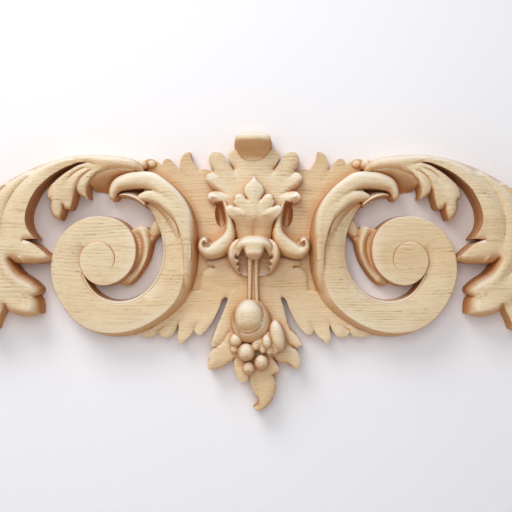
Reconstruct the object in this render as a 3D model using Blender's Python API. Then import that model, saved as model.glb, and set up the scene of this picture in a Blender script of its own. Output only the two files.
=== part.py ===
"""Carved wooden scroll onlay: a leafy crest and a fruit drop between two spiral scrolls, under arching acanthus.

It is one piece of wood with a flat back, which is glued or pinned to a wall, a mantel or a piece of furniture.
+X runs along its length, +Z is up, and the carving faces -Y. The back lies in the plane Y = 0.
The origin is on the back, at the middle of the crest.

The carving is drawn as (out, up) from the origin, where out is the distance from the middle line to the left,
which is side -1. Side 1 is its mirror image. Places and half widths are in units of the drawing, on which the
whole carving is DRAWING_UNITS high. Heights of the relief are shares of the named depths below.
"""

import math

import bmesh
import bpy
import numpy as np
from mathutils import Vector
from mathutils.geometry import delaunay_2d_cdt

MM = 0.001

# The carving's height, from the tip of its drop to the top of its crest, and the same in units of the drawing.
HEIGHT = 279.9 * MM
DRAWING_UNITS = 279.9
UNIT = HEIGHT / DRAWING_UNITS

# How far each layer of the relief stands out from the back.
WING_DEPTH = 17 * MM
LOWER_WING_DEPTH = 20 * MM
DROP_LEAF_DEPTH = 23 * MM
BRACT_DEPTH = 24 * MM
PALMETTE_DEPTH = 27 * MM
SCROLL_DEPTH = 31 * MM
WHISKER_DEPTH = 36 * MM
TRUNK_DEPTH = 41 * MM
ARCH_DEPTH = 43 * MM
HUSK_DEPTH = 41 * MM
HOOD_DEPTH = 49 * MM
FRUIT_DEPTH = 47 * MM

# The walls lean out towards the back, and the saw cuts the back flat.
STRIP_LEAN = 0.045
LEAF_LEAN = 0.02
SAW_WASTE = 4 * MM
SAW_WASTE_STEP = 0.04 * MM

# The spiral scroll: where its eye is, and how far its face falls towards the eye.
SCROLL_CENTRE = (156, 13)
FACE_FALL = 3.0 * MM

# How finely the strips and the fruit are cut.
TIP_STEPS = 2
ACROSS_STEPS = 4
RIBBON_STEP_DEG = 11
FRUIT_SEGMENTS = 12

OAK = (0.78, 0.60, 0.39, 1.0)
OAK_ROUGHNESS = 0.6

# Outer edge of the scroll's ribbon: (angle, radius). The angle starts at the middle line's side of the eye and
# runs under it, out and over.
SPIRAL_EDGE = (
    (-60, 88), (0, 87), (15, 88), (27, 88.5), (38, 86), (51, 82.5), (64, 79.5), (81, 75.5), (93, 72.5),
    (135, 56), (180, 46.5), (225, 43), (270, 42.7), (315, 43), (360, 37), (405, 30.5), (450, 26),
    (495, 21), (540, 19.2), (600, 18), (660, 17), (720, 16.6), (765, 16.2),
)
# Inner edge of its outer turn, along the slot, from the top round to where the slot closes.
SLOT_EDGE = (
    (-60, 75), (-37, 70.6), (-8, 65.6), (10, 63), (28, 59), (49, 53), (67, 46.5), (87, 38), (110, 28),
    (150, 19),
)


class Carving:
    """The blocks that are joined into one piece of wood."""

    def __init__(self):
        self.blocks = []
        self.collection = bpy.data.collections.new("carving_blocks")
        bpy.context.scene.collection.children.link(self.collection)

    def waste(self):
        """Depth of wood behind the back that the saw takes off. No two blocks have the same."""
        return SAW_WASTE + SAW_WASTE_STEP * len(self.blocks)

    def add(self, name, solid):
        mesh = bpy.data.meshes.new(name)
        bmesh.ops.recalc_face_normals(solid, faces=solid.faces)
        solid.to_mesh(mesh)
        solid.free()
        block = bpy.data.objects.new(name, mesh)
        block.hide_render = True
        block.display_type = "WIRE"
        self.collection.objects.link(block)
        self.blocks.append(block)


def place(out, up, height, side):
    """A point of the drawing in the frame: out and up in its units, height in metres from the back."""
    return (side * out * UNIT, -height, up * UNIT)


def hand(side):
    return "right" if side > 0 else "left"


def smooth_curve(rows):
    """A function that gives every column smoothly from the distance along the rows' path, and its length."""
    rows = np.array(rows, float)
    chords = np.linalg.norm(np.diff(rows[:, :2], axis=0), axis=1)
    knots = np.concatenate([[0.0], np.cumsum(chords)])
    slopes = np.diff(rows, axis=0) / chords[:, None]
    tangents = np.empty_like(rows)
    tangents[0], tangents[-1] = slopes[0], slopes[-1]
    before, after = chords[:-1, None], chords[1:, None]
    tangents[1:-1] = (slopes[:-1] * after + slopes[1:] * before) / (before + after)
    if len(rows) > 2:
        tangents[0] = (3 * slopes[0] - tangents[1]) / 2
        tangents[-1] = (3 * slopes[-1] - tangents[-2]) / 2

    def at(distance):
        distance = np.asarray(distance, float)
        piece = np.clip(np.searchsorted(knots, distance) - 1, 0, len(chords) - 1)
        length = chords[piece][:, None]
        t = (distance[:, None] - knots[piece][:, None]) / length
        start, end = rows[piece], rows[piece + 1]
        leave, arrive = tangents[piece] * length, tangents[piece + 1] * length
        return (
            (2 * t**3 - 3 * t**2 + 1) * start
            + (t**3 - 2 * t**2 + t) * leave
            + (3 * t**2 - 2 * t**3) * end
            + (t**3 - t**2) * arrive
        )

    return at, knots[-1]


def loft(rings):
    """A closed solid through rings of as many points each, with flat ends."""
    solid = bmesh.new()
    grid = [[solid.verts.new(point) for point in ring] for ring in rings]
    size = len(grid[0])
    for here, there in zip(grid, grid[1:]):
        for i in range(size):
            j = (i + 1) % size
            solid.faces.new((here[i], here[j], there[j], there[i]))
    solid.faces.new(grid[0])
    solid.faces.new(reversed(grid[-1]))
    return solid


def strip(carving, name, depth, rows, edges=(0.8, 0.8), skew=0.0, crown=0.8, tip=4.0, root=0.0,
          sides=(-1, 1), along=6, across=ACROSS_STEPS):
    """A moulding or a leaf finger: a ridge along rows of (out, up, half width, height share).

    edges are the left and right edges' heights as shares of the ridge's, and skew moves the ridge to the right.
    Rows may give their own left edge, right edge and skew after the height. A low crown is round like a dowel,
    and a high one is a soft ridge. tip and root are the lengths over which the ends round off.
    """
    rows = [tuple(row) if len(row) == 7 else (*row, edges[0], edges[1], skew) for row in rows]
    at, length = smooth_curve(rows)
    turns = np.radians(np.linspace(0, 82, TIP_STEPS + 1))
    middle = np.linspace(root, length - tip, along + 1)
    distance = np.concatenate([middle, length - tip + tip * np.sin(turns[1:])])
    ends = np.concatenate([np.ones(len(middle)), np.cos(turns[1:])])
    if root:
        distance = np.concatenate([root - root * np.sin(turns[:0:-1]), distance])
        ends = np.concatenate([np.cos(turns[:0:-1]), ends])
    path = at(distance)
    ahead = at(np.minimum(distance + 0.05, length)) - at(np.maximum(distance - 0.05, 0))
    direction = ahead[:, :2] / np.linalg.norm(ahead[:, :2], axis=1)[:, None]
    left = np.stack([-direction[:, 1], direction[:, 0]], axis=1)
    u = np.sin(np.linspace(-math.pi / 2, math.pi / 2, across + 1))
    for side in sides:
        waste = carving.waste()
        rings = []
        for (out, up, half, share, left_edge, right_edge, peak), across_way, end in zip(path, left, ends):
            ridge = depth * share
            off_ridge = np.where(u < peak, (peak - u) / (1 + peak), (u - peak) / (1 - peak))
            low = ridge * np.where(u < peak, left_edge, right_edge)
            heights = low + (ridge - low) * (1 - np.clip(off_ridge, 0, 1) ** 2) ** crown * end
            spread = -u * half * end
            ring = [
                place(out + across_way[0] * s, up + across_way[1] * s, h, side) for s, h in zip(spread, heights)
            ]
            for k in (-1, 0):
                s = spread[k] + math.copysign((heights[k] + waste) * STRIP_LEAN / UNIT, spread[k])
                ring.append(place(out + across_way[0] * s, up + across_way[1] * s, -waste, side))
            rings.append(ring)
        carving.add(f"{name}_{hand(side)}", loft(rings))


def leaf(carving, name, depth, outline, ridges=(), edge=0.85, whole=False, sides=(-1, 1)):
    """A leaf cut to an outline of (out, up) points, its face drawn through ridges of (out, up, height share).

    An outline point may give its own height share in place of the edge's. A whole leaf has its outline given
    from the middle line's top down to its foot, and is mirrored there.
    """
    outline = [tuple(p) if len(p) == 3 else (*p, edge) for p in outline]
    ridges = [list(line) for line in ridges]
    if whole:
        sides = (-1,)
        outline += [(-out, up, share) for out, up, share in reversed(outline[1:-1])]
        ridges += [[(-out, up, share) for out, up, share in line] for line in ridges if max(p[0] for p in line) > 1]
    points = list(outline)
    edges = []
    for line in ridges:
        edges += [(len(points) + i, len(points) + i + 1) for i in range(len(line) - 1)]
        points += line
    flat, _, faces, origins, _, _ = delaunay_2d_cdt(
        [Vector(p[:2]) for p in points], edges, [list(range(len(outline)))], 1, 1e-4)
    shares = []
    for corner, origin in zip(flat, origins):
        if not origin:
            raise ValueError(f"{name}: lines cross at {corner.x:.1f}, {corner.y:.1f}")
        shares.append(points[origin[0]][2])
    at_outline = {origin[0]: i for i, origin in enumerate(origins) if origin[0] < len(outline)}
    loop = [at_outline[i] for i in range(len(outline))]
    corners = np.array([p[:2] for p in outline], float)
    ahead = np.roll(corners, -1, axis=0) - corners
    ahead /= np.linalg.norm(ahead, axis=1)[:, None]
    tangent = ahead + np.roll(ahead, 1, axis=0)
    tangent /= np.maximum(np.linalg.norm(tangent, axis=1)[:, None], 0.2)
    turn = np.sum(corners[:, 0] * np.roll(corners[:, 1], -1) - corners[:, 1] * np.roll(corners[:, 0], -1))
    outward = np.stack([tangent[:, 1], -tangent[:, 0]], axis=1) * math.copysign(1, turn)
    for side in sides:
        waste = carving.waste()
        solid = bmesh.new()
        face = [solid.verts.new(place(p.x, p.y, depth * s, side)) for p, s in zip(flat, shares)]
        for triangle in faces:
            solid.faces.new([face[i] for i in triangle])
        foot = []
        for (out, up, share), away in zip(outline, outward):
            lean = (depth * share + waste) * LEAF_LEAN / UNIT
            foot.append(solid.verts.new(place(out + away[0] * lean, up + away[1] * lean, -waste, side)))
        for i in range(len(loop)):
            j = (i + 1) % len(loop)
            solid.faces.new((face[loop[i]], face[loop[j]], foot[j], foot[i]))
        solid.faces.new(foot)
        carving.add(f"{name}_{hand(side)}", solid)


def fruit_ball(carving, name, centre, radii, height, sides=(-1,), segments=FRUIT_SEGMENTS, turn=0.0):
    """A fruit or berry that rises from the back. radii are (across, up, depth of its dome)."""
    for side in sides:
        waste = carving.waste()
        base = height - radii[2] * UNIT
        rings = []
        lifts = np.radians(np.linspace(0, 90, segments // 4 + 1))[:-1]
        spins = np.radians(np.arange(segments) * 360 / segments + 7)
        cos_turn, sin_turn = math.cos(math.radians(turn)), math.sin(math.radians(turn))
        levels = [(base + radii[2] * UNIT * math.sin(a), math.cos(a)) for a in lifts]
        for level, shrink in [(-waste, 1.0)] + levels:
            ring = []
            for spin in spins:
                x, z = radii[0] * shrink * math.cos(spin), radii[1] * shrink * math.sin(spin)
                out = centre[0] + x * cos_turn - z * sin_turn
                up = centre[1] + x * sin_turn + z * cos_turn
                ring.append(place(out, up, level, side))
            rings.append(ring)
        solid = bmesh.new()
        grid = [[solid.verts.new(point) for point in ring] for ring in rings]
        for here, there in zip(grid, grid[1:]):
            for i in range(segments):
                j = (i + 1) % segments
                solid.faces.new((here[i], here[j], there[j], there[i]))
        solid.faces.new(grid[0])
        top = solid.verts.new(place(centre[0], centre[1], height, side))
        for i in range(segments):
            solid.faces.new((grid[-1][i], grid[-1][(i + 1) % segments], top))
        carving.add(f"{name}_{hand(side)}", solid)


def radius_at(table, angle):
    """Radius of a spiral edge at an angle, smoothly through its table."""
    at, _ = smooth_curve([(row[0], 0.0, row[1]) for row in table])
    return float(at(np.array([np.clip(angle, table[0][0], table[-1][0]) - table[0][0]]))[0, 2])


def scroll_point(angle, radius, height, side):
    a = math.radians(angle)
    return place(SCROLL_CENTRE[0] - radius * math.cos(a), SCROLL_CENTRE[1] - radius * math.sin(a), height, side)


def scroll(carving):
    """The spiral ribbon: one turn and a half round the slot, and the eye as its end.

    Along the inner turn the eye stands above the ribbon beside it, and the step fades out over three quarters
    of a turn.
    """
    for side in (-1, 1):
        waste = carving.waste()
        lean = (SCROLL_DEPTH + waste) * STRIP_LEAN / UNIT
        rings = []
        for angle in [-56 + i * RIBBON_STEP_DEG for i in range(43)]:
            outer = radius_at(SPIRAL_EDGE, angle)
            beside = radius_at(SPIRAL_EDGE, angle + 360) - 2.5
            inner = radius_at(SLOT_EDGE, angle) if angle < 140 else beside
            fall = FACE_FALL * min(1.0, max(0.0, (395 - angle) / 215))
            drop = 0.0 if angle < 400 else 0.5 * MM
            rings.append([
                scroll_point(angle, outer, SCROLL_DEPTH - drop, side),
                scroll_point(angle, inner, SCROLL_DEPTH - fall - drop, side),
                scroll_point(angle, inner - lean, -waste, side),
                scroll_point(angle, outer + lean, -waste, side),
            ])
        carving.add(f"ribbon_{hand(side)}", loft(rings))
        outline = [(a, radius_at(SPIRAL_EDGE, a)) for a in np.linspace(401, 757, 34)]
        solid = bmesh.new()
        waste = carving.waste()
        rim = [solid.verts.new(scroll_point(a, r, SCROLL_DEPTH, side)) for a, r in outline]
        foot = [solid.verts.new(scroll_point(a, r + lean, -waste, side)) for a, r in outline]
        solid.faces.new(rim)
        solid.faces.new(reversed(foot))
        for i in range(len(rim)):
            j = (i + 1) % len(rim)
            solid.faces.new((rim[i], foot[i], foot[j], rim[j]))
        carving.add(f"eye_{hand(side)}", solid)


def bract(carving):
    """The low leaf that joins the ribbon's inner edge to the coil, and wraps under the coil."""
    strip(carving, "bract_ridge", BRACT_DEPTH, [
        (98.5, 50, 4, 0.88), (104, 40, 5.5, 1.0), (109, 26, 6, 1.0), (110.5, 13, 6, 1.0),
        (115, 2, 5.5, 0.93), (124, -8, 4, 0.88), (136, -14, 2.5, 0.8)], edges=(0.72, 0.66), tip=4, along=8)
    strip(carving, "bract_hollow", BRACT_DEPTH, [
        (108.5, 45, 8.5, 0.86), (114.5, 36, 8, 0.78), (117, 20, 8, 0.72), (121, 5, 7.5, 0.7),
        (131, -6, 6, 0.66)],
        edges=(1.0, 0.9), tip=4, along=4, across=2)


def trunk(carving):
    """The moulding outside the ribbon. Below it is a plain slope, and above it turns over as two hooked tips."""
    strip(carving, "trunk", TRUNK_DEPTH, [
        (127, -62, 2.5, 0.6, 0.8, 0.98, 0.6), (115, -59, 4, 0.64, 0.62, 0.98, 0.6),
        (102.5, -53, 4.8, 0.67, 0.5, 0.98, 0.6), (86.7, -41.5, 5.4, 0.7, 0.45, 0.97, 0.6),
        (74.2, -29.5, 6, 0.72, 0.42, 0.97, 0.6), (65, -7, 7.4, 0.8, 0.38, 0.95, 0.55),
        (63.5, 12, 7.6, 0.88, 0.36, 0.92, 0.5), (63.6, 34, 8, 0.95, 0.35, 0.93, 0.3),
        (65, 48, 7, 0.98, 0.38, 0.94, 0.2), (69.5, 61, 6.8, 1.0, 0.42, 0.95, 0.1),
        (78, 73, 7, 1.02, 0.5, 0.95, 0.0), (91.5, 85, 7.4, 1.02, 0.6, 0.94, 0.0),
        (103.5, 91, 8.6, 1.0, 0.68, 0.9, 0.0), (115, 92, 8.3, 0.99, 0.72, 0.88, 0.0),
        (127.5, 90.5, 8, 0.97, 0.74, 0.87, 0.0), (136.5, 86.5, 6.8, 0.93, 0.8, 0.87, 0.0),
        (140.8, 79, 4.6, 0.88, 0.86, 0.88, 0.0), (141, 71.5, 2.5, 0.82, 0.9, 0.9, 0.0)],
        crown=0.7, tip=3, along=19)
    strip(carving, "trunk_hook", TRUNK_DEPTH, [
        (68, 6, 2, 0.84), (69, 26, 2.6, 0.87), (71.8, 43, 4, 0.93), (76.3, 54.5, 5.4, 0.98),
        (83.5, 64, 6.4, 1.01), (92, 71.5, 6.6, 1.01), (101, 75, 6.2, 0.98), (109.5, 75, 5, 0.92),
        (116.5, 73.5, 2.5, 0.86)],
        edges=(0.92, 0.88), crown=0.7, tip=3, along=8)
    strip(carving, "trunk_cove", TRUNK_DEPTH, [
        (71, 10, 2, 0.72), (76, 34, 5, 0.78), (84, 52, 8, 0.78), (95, 62, 8, 0.74), (106, 67, 6, 0.68),
        (113, 71, 3, 0.64)],
        edges=(1.0, 0.88), crown=0.8, tip=2, along=5, across=2)
    strip(carving, "hook_web", TRUNK_DEPTH, [
        (102, 84, 6, 0.62), (116, 82, 6.5, 0.6), (130, 80.5, 5, 0.58), (137, 80, 4, 0.58)],
        edges=(1.0, 0.95), tip=2, along=3, across=2)


def arch(carving):
    """The acanthus that springs over the scroll: a long leaf that falls outside it, and three lobes inside."""
    leaf(carving, "arch", ARCH_DEPTH, [
        (104, 97.5, 0.8), (106.5, 102.5, 0.84), (114, 105, 0.84), (118.5, 111.5, 0.76), (130, 115, 0.74),
        (144, 116.5, 0.74), (158, 117.2, 0.74), (171, 117, 0.74), (188, 114.5, 0.73), (204, 110, 0.72),
        (217, 105.5, 0.71), (229, 100, 0.7), (242, 93.5, 0.68), (254, 86.5, 0.66), (270, 75, 0.64),
        (284, 62, 0.62), (298, 46, 0.62), (310, 30, 0.62), (321, 13, 0.63), (333, -3, 0.64),
        (346, -14, 0.66), (356, -18, 0.72), (362, -23, 0.78), (355, -32, 0.72), (342, -37.5, 0.68),
        (329, -36, 0.68), (319, -30.5, 0.7), (313, -24, 0.74), (314, -35, 0.72), (311.5, -45, 0.7),
        (305, -53, 0.7), (298, -56.5, 0.75), (292, -49, 0.74), (287, -41, 0.76), (283.5, -32, 0.78),
        (281, -45, 0.76), (275.5, -53.5, 0.74), (267, -58, 0.75), (260, -58.5, 0.8), (256, -48, 0.78),
        (252, -40, 0.8), (248.2, -32.5, 0.8), (244, -39, 0.78), (237, -43, 0.77), (229, -44.8, 0.77),
        (221, -44, 0.8), (214.4, -42.5, 0.86), (219, -35, 0.84), (224.5, -29, 0.83), (229, -24, 0.82),
        (222, -25, 0.82), (216, -23, 0.84), (216.5, -18, 0.86), (220, -13, 0.86), (226, -8, 0.86),
        (233, -3.5, 0.87), (239.5, 4, 0.87), (244, 13.5, 0.82), (239, 9.2, 0.82), (233.5, 8.5, 0.84),
        (224, 8, 0.82), (214, 8.5, 0.82), (206.5, 10, 0.82), (201, 13, 0.84), (206, 17, 0.88),
        (211, 21.5, 0.9), (217, 26.5, 0.92), (223, 30, 0.93), (229.5, 32, 0.9), (223, 33.2, 0.92),
        (217.5, 33, 0.9), (221, 37.5, 0.96), (224.5, 43, 0.98), (226.5, 50, 1.0), (226.5, 57, 1.0),
        (224.5, 65, 1.0), (221, 73, 1.0), (216, 81.5, 1.0), (209, 89, 1.0), (200, 96.5, 1.0),
        (191, 102, 1.0), (182, 106, 1.0), (174, 108.6, 1.0), (167, 108.8, 0.98), (161, 105.5, 0.94),
        (155, 99.2, 0.9), (146, 102, 0.9), (134, 103.4, 0.9), (122, 102.4, 0.9), (113, 99.4, 0.86)],
        [
            [(120, 107, 0.93), (142, 109, 0.97), (158, 110.5, 0.99), (168, 111.5, 1.0)],
            [(184, 111.5, 0.94), (196, 107.5, 0.92), (206, 102, 0.92)],
            [(212, 95, 0.95), (225, 81, 0.96), (234, 64, 0.97), (236, 48, 0.97), (233.5, 34, 0.96),
             (225, 22, 0.93), (210, 15, 0.9)],
            [(216, 98, 0.87), (230, 84, 0.87), (240, 67, 0.87), (244, 50, 0.87), (244.5, 34, 0.86),
             (242, 20, 0.84)],
            [(227, 95, 0.95), (242, 81, 0.96), (251, 64, 0.97), (254, 46, 0.97), (253, 28, 0.97),
             (247, 10, 0.95), (236, -6, 0.93), (221, -17, 0.9)],
            [(236, 93, 0.85), (254, 77, 0.86), (264, 60, 0.86), (268, 42, 0.86), (266, 22, 0.86),
             (258, 3, 0.85), (246, -12, 0.84), (233, -22, 0.83)],
            [(248, 87, 0.9), (264, 73, 0.93), (276, 54, 0.94), (281, 34, 0.95), (278, 13, 0.94),
             (267, -8, 0.93), (250, -26, 0.9), (224, -38, 0.88)],
            [(262, 78, 0.8), (276, 64, 0.83), (288, 46, 0.85), (293, 26, 0.85), (289, 4, 0.84),
             (277, -15, 0.82), (258, -29, 0.81)],
            [(274, 68.5, 0.8), (288, 53, 0.86), (300, 34, 0.89), (304, 14, 0.89), (298, -8, 0.88),
             (282, -28, 0.86), (265, -51, 0.86)],
            [(287, 56, 0.7), (300, 42, 0.77), (310, 23, 0.8), (312, 6, 0.8), (303, -12, 0.78),
             (290, -27, 0.78)],
            [(304, 35, 0.7), (316, 16, 0.8), (320, -1, 0.83), (311, -17, 0.83), (304, -34, 0.82),
             (299, -50, 0.82)],
            [(324, 5, 0.7), (334, -12, 0.78), (345, -22, 0.8), (355, -25, 0.82)],
        ])
    leaf(carving, "arch_lobes", ARCH_DEPTH, [
        (108, 103, 0.78), (126, 110, 0.8), (144, 112, 0.84), (157, 110.5, 0.88), (166, 108.8, 0.93),
        (174, 106.5, 0.92), (182, 102.5, 0.89), (191, 96.5, 0.87), (198.5, 90, 0.87), (203.5, 84.5, 0.86),
        (205.7, 79, 0.85), (205.2, 73, 0.82), (202.7, 71.5, 0.8),
        (203.5, 66, 0.78), (202, 60, 0.78), (199, 54.5, 0.78), (194.7, 52, 0.8), (193, 55.5, 0.82),
        (191.2, 61, 0.84), (190.4, 67.5, 0.84), (188, 63, 0.82), (184, 63, 0.84), (181, 69.5, 0.88),
        (179, 77, 0.9), (176.7, 84, 0.88), (174.5, 78.5, 0.86), (171, 75.5, 0.84), (165.5, 73, 0.84),
        (166.4, 80, 0.88), (165.2, 86, 0.9), (161.5, 92, 0.9), (155, 98.5, 0.9), (146, 101.7, 0.9),
        (134, 103.2, 0.9), (122, 102.2, 0.9), (113, 99, 0.86)],
        [
            [(164, 106, 0.98), (176, 101.5, 0.97), (187, 94, 0.96), (195, 82, 0.95), (197.5, 68, 0.91),
             (196, 58, 0.86)],
            [(169, 101.5, 0.93), (179.5, 93.5, 0.91), (186, 82, 0.9), (189, 72, 0.87)],
            [(158, 104.5, 0.96), (167.5, 99, 0.98), (176, 91, 0.98), (181.5, 81, 0.96), (184.5, 69, 0.91)],
            [(162, 99.5, 0.93), (170, 92.5, 0.91), (173.5, 85, 0.88)],
            [(151, 105, 0.93), (158, 100.5, 0.96), (165, 93, 0.97), (169.5, 84, 0.95), (168.5, 77.5, 0.89)],
        ])
    strip(carving, "arch_web", ARCH_DEPTH, [
        (106, 98, 5, 0.62), (124, 97, 8, 0.62), (144, 93, 11, 0.6), (157, 86, 7, 0.58)],
        edges=(1.0, 0.95), tip=3, along=4, across=2)


def wing(carving):
    """The flat leaf behind the crest and the scroll: three points along its top, and a small curl at its end."""
    leaf(carving, "wing", WING_DEPTH, [
        (104, 98), (110, 106), (111, 111.5, 1.0), (107, 114.2, 1.05), (103, 114.2, 1.05),
        (99, 112.3, 1.0), (93, 107.8, 0.95), (92.2, 111.5, 1.0), (89.5, 114.2, 1.05), (86, 114.4, 1.05),
        (82.5, 111.5, 1.0), (79, 106.5, 0.95), (74.7, 102.2, 0.9), (75, 109, 1.0), (73, 116.5, 1.05),
        (69, 120.2, 1.1), (64.8, 121.6, 1.1), (63.7, 115, 1.05), (60.2, 109, 1.0), (55.7, 103.8, 0.92),
        (51, 104.4, 0.95), (46, 103.2, 0.95), (41, 99, 0.9), (28, 92), (14, 82), (10, 57), (14, 27),
        (24, 10), (40, -3), (49, -20), (64, -20), (61, 2), (60, 27), (64, 50), (74, 72), (87, 86)],
        [
            [(89, 100, 0.95), (78, 88, 0.86), (66, 67, 0.8)],
            [(87, 111, 1.0), (82, 102, 0.95), (72, 88, 0.88), (61, 69, 0.8)],
            [(74.2, 99.5, 0.86), (70, 93.5, 0.84), (64, 85, 0.82)],
            [(67.5, 116, 1.05), (66.5, 104, 0.98), (61, 89, 0.9), (54, 72, 0.84), (50, 50, 0.8)],
            [(49, 100, 0.92), (47, 86, 0.88), (42, 67, 0.84)],
        ], edge=0.8)
    fruit_ball(carving, "wing_curl", (112.3, 108), (5.2, 5, 6), WING_DEPTH * 2.0, sides=(-1, 1), segments=8)
    fruit_ball(carving, "wing_curl_tip", (104, 108.8), (5.4, 5, 6), WING_DEPTH * 1.5, sides=(-1, 1), segments=8)


def palmette(carving):
    """The upright leaf at the middle of the crest: its tip rolls forward, over three pairs of lobes."""
    leaf(carving, "palmette", PALMETTE_DEPTH, [
        (0, 122.5), (13, 122.5), (21.5, 122), (25, 119.5), (25.4, 115), (23.6, 110.5), (20, 103.5, 0.8),
        (24.8, 109), (28.4, 114.5, 0.98), (32, 118.5, 1.02), (37.5, 120.2, 1.05), (42, 119.4, 1.05),
        (44.7, 116, 1.02), (45.2, 111, 0.96), (43.8, 106, 0.92), (41, 101, 0.86), (44.5, 99.2, 0.98),
        (47.7, 96.5, 1.03), (48.2, 93, 1.0), (46, 88, 0.93), (42.5, 84, 0.88), (38, 81.5, 0.84),
        (42.5, 80.2, 1.1), (45.5, 77.7, 1.18), (46.4, 74.5, 1.18), (45, 71, 1.12), (41, 68.5, 1.05),
        (35, 66, 0.98), (28, 63, 0.92), (18, 56), (0, 50)],
        [
            [(0, 114, 0.9), (0, 100, 0.97), (0, 72, 0.97)],
            [(14, 114, 0.95), (13, 106, 0.95)],
            [(38, 115, 1.08), (34, 107, 1.01), (26, 97, 0.98), (14, 82, 0.97)],
            [(19, 99.5, 0.88), (13, 90, 0.93)],
            [(44, 93.5, 1.06), (36, 90, 1.0), (24, 83.5, 0.98), (14, 75, 0.97)],
            [(37.5, 96, 0.89), (28, 90, 0.92)],
            [(42.5, 75, 1.24), (34, 74, 1.14), (24, 70, 1.0)],
            [(34, 80.2, 0.89), (25, 76.5, 0.93)],
        ], edge=0.92, whole=True)
    strip(carving, "palmette_roll", PALMETTE_DEPTH, [
        (1, 102, 14, 0.92), (1, 110, 14.5, 0.96), (1, 117, 15.5, 1.08), (1, 123, 16.6, 1.26),
        (1, 128.5, 17.2, 1.48), (1, 132.5, 17.2, 1.6), (1, 136, 16.6, 1.58), (1, 139.5, 15.6, 1.46)],
        edges=(0.93, 0.93), crown=0.6, tip=5, sides=(-1,), along=8)


def husk(carving):
    """The raised five-lobed leaf in front of the palmette, on a hollowed neck."""
    leaf(carving, "husk", HUSK_DEPTH, [
        (0, 95.5, 0.86), (3.5, 94, 0.86), (7, 91, 0.87), (9.7, 86.5, 0.88), (10.7, 82, 0.89),
        (9.5, 77.5, 0.9), (7.2, 73.2, 0.9), (11, 75.8, 0.91), (15.5, 77.8, 0.92), (19.2, 77.2, 0.92),
        (21.1, 74, 0.92), (20.8, 69.5, 0.92), (18.6, 65, 0.91), (23, 66.2, 0.94), (26.8, 65.6, 0.96),
        (28.4, 63, 0.97), (27.2, 59.5, 0.97), (24, 55.7, 0.96), (20.6, 52.5, 0.93), (19.2, 48, 0.82),
        (18.7, 42, 0.7), (18, 35, 0.62), (14, 26, 0.62), (0, 22, 0.62)],
        [
            [(0, 88, 0.95), (0, 79, 0.99), (0, 68, 1.01), (0, 59, 1.02), (0, 53.5, 0.99), (0, 49, 0.9),
             (0, 42, 0.78), (0, 32, 0.7)],
            [(16.2, 73, 0.97), (11, 68.5, 0.99), (7, 63, 1.01)],
            [(24, 62, 1.0), (17, 59.5, 1.01), (10, 57, 1.01)],
            [(14.5, 64.2, 0.95), (10, 60.7, 0.98)],
            [(10, 50.5, 0.92), (10, 43, 0.79)],
        ], whole=True)


def whisker(carving):
    """The S-shaped scroll on each side of the husk, which ends in a small curl."""
    strip(carving, "whisker", WHISKER_DEPTH, [
        (33, 70, 2, 0.85), (29, 60, 3.2, 0.92), (24.5, 48, 4.5, 0.98), (23.5, 38, 6.3, 1.02),
        (28.5, 29.5, 8.4, 1.05), (37.5, 24.5, 9.6, 1.06), (45, 25.5, 8.6, 1.04), (51, 28, 6, 1.0)],
        edges=(0.8, 0.74), crown=0.6, tip=4, along=10)
    fruit_ball(carving, "whisker_eye", (48.3, 28), (6.4, 6.2, 5), WHISKER_DEPTH * 1.08, sides=(-1, 1), segments=12)


def hood(carving):
    """The hooded bud under the husk, with its two side petals, the pockets between and the stem of the fruit."""
    leaf(carving, "hood_floor", HOOD_DEPTH, [
        (0, 30), (20, 30), (25, 18), (22, 4), (14, -2), (8, -4), (0, -4)],
        [[(0, 20, 0.42), (0, 4, 0.42)], [(12, 16, 0.36), (12, 6, 0.36)]], edge=0.5, whole=True)
    fruit_ball(carving, "hood_cap", (0.5, 22.5), (19, 13.5, 14), HOOD_DEPTH, segments=16)
    fruit_ball(carving, "hood_bud", (0.5, 20.5), (9.7, 8.2, 10), HOOD_DEPTH * 1.03)
    strip(carving, "hood_petal", HOOD_DEPTH, [
        (14, 33, 4, 0.8), (20.5, 26, 4.8, 0.86), (23.2, 17, 4, 0.86), (22.5, 8, 4, 0.78),
        (19, 1, 3.6, 0.68), (13, -3, 2, 0.6)],
        edges=(0.84, 0.84), crown=0.6, tip=3, along=6)
    strip(carving, "stem_left", PALMETTE_DEPTH, [(4.5, 14, 2.2, 1.2), (4.2, -8, 2, 1.1), (5, -30, 2, 1.05)],
          edges=(0.85, 0.85), crown=0.5, tip=1, sides=(-1,), along=2)
    strip(carving, "stem_right", PALMETTE_DEPTH, [(-1.6, 14, 2.4, 1.15), (-1.6, -8, 2.2, 1.05), (-3.6, -30, 2.2, 1.0)],
          edges=(0.85, 0.85), crown=0.5, tip=1, sides=(-1,), along=2)


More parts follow.
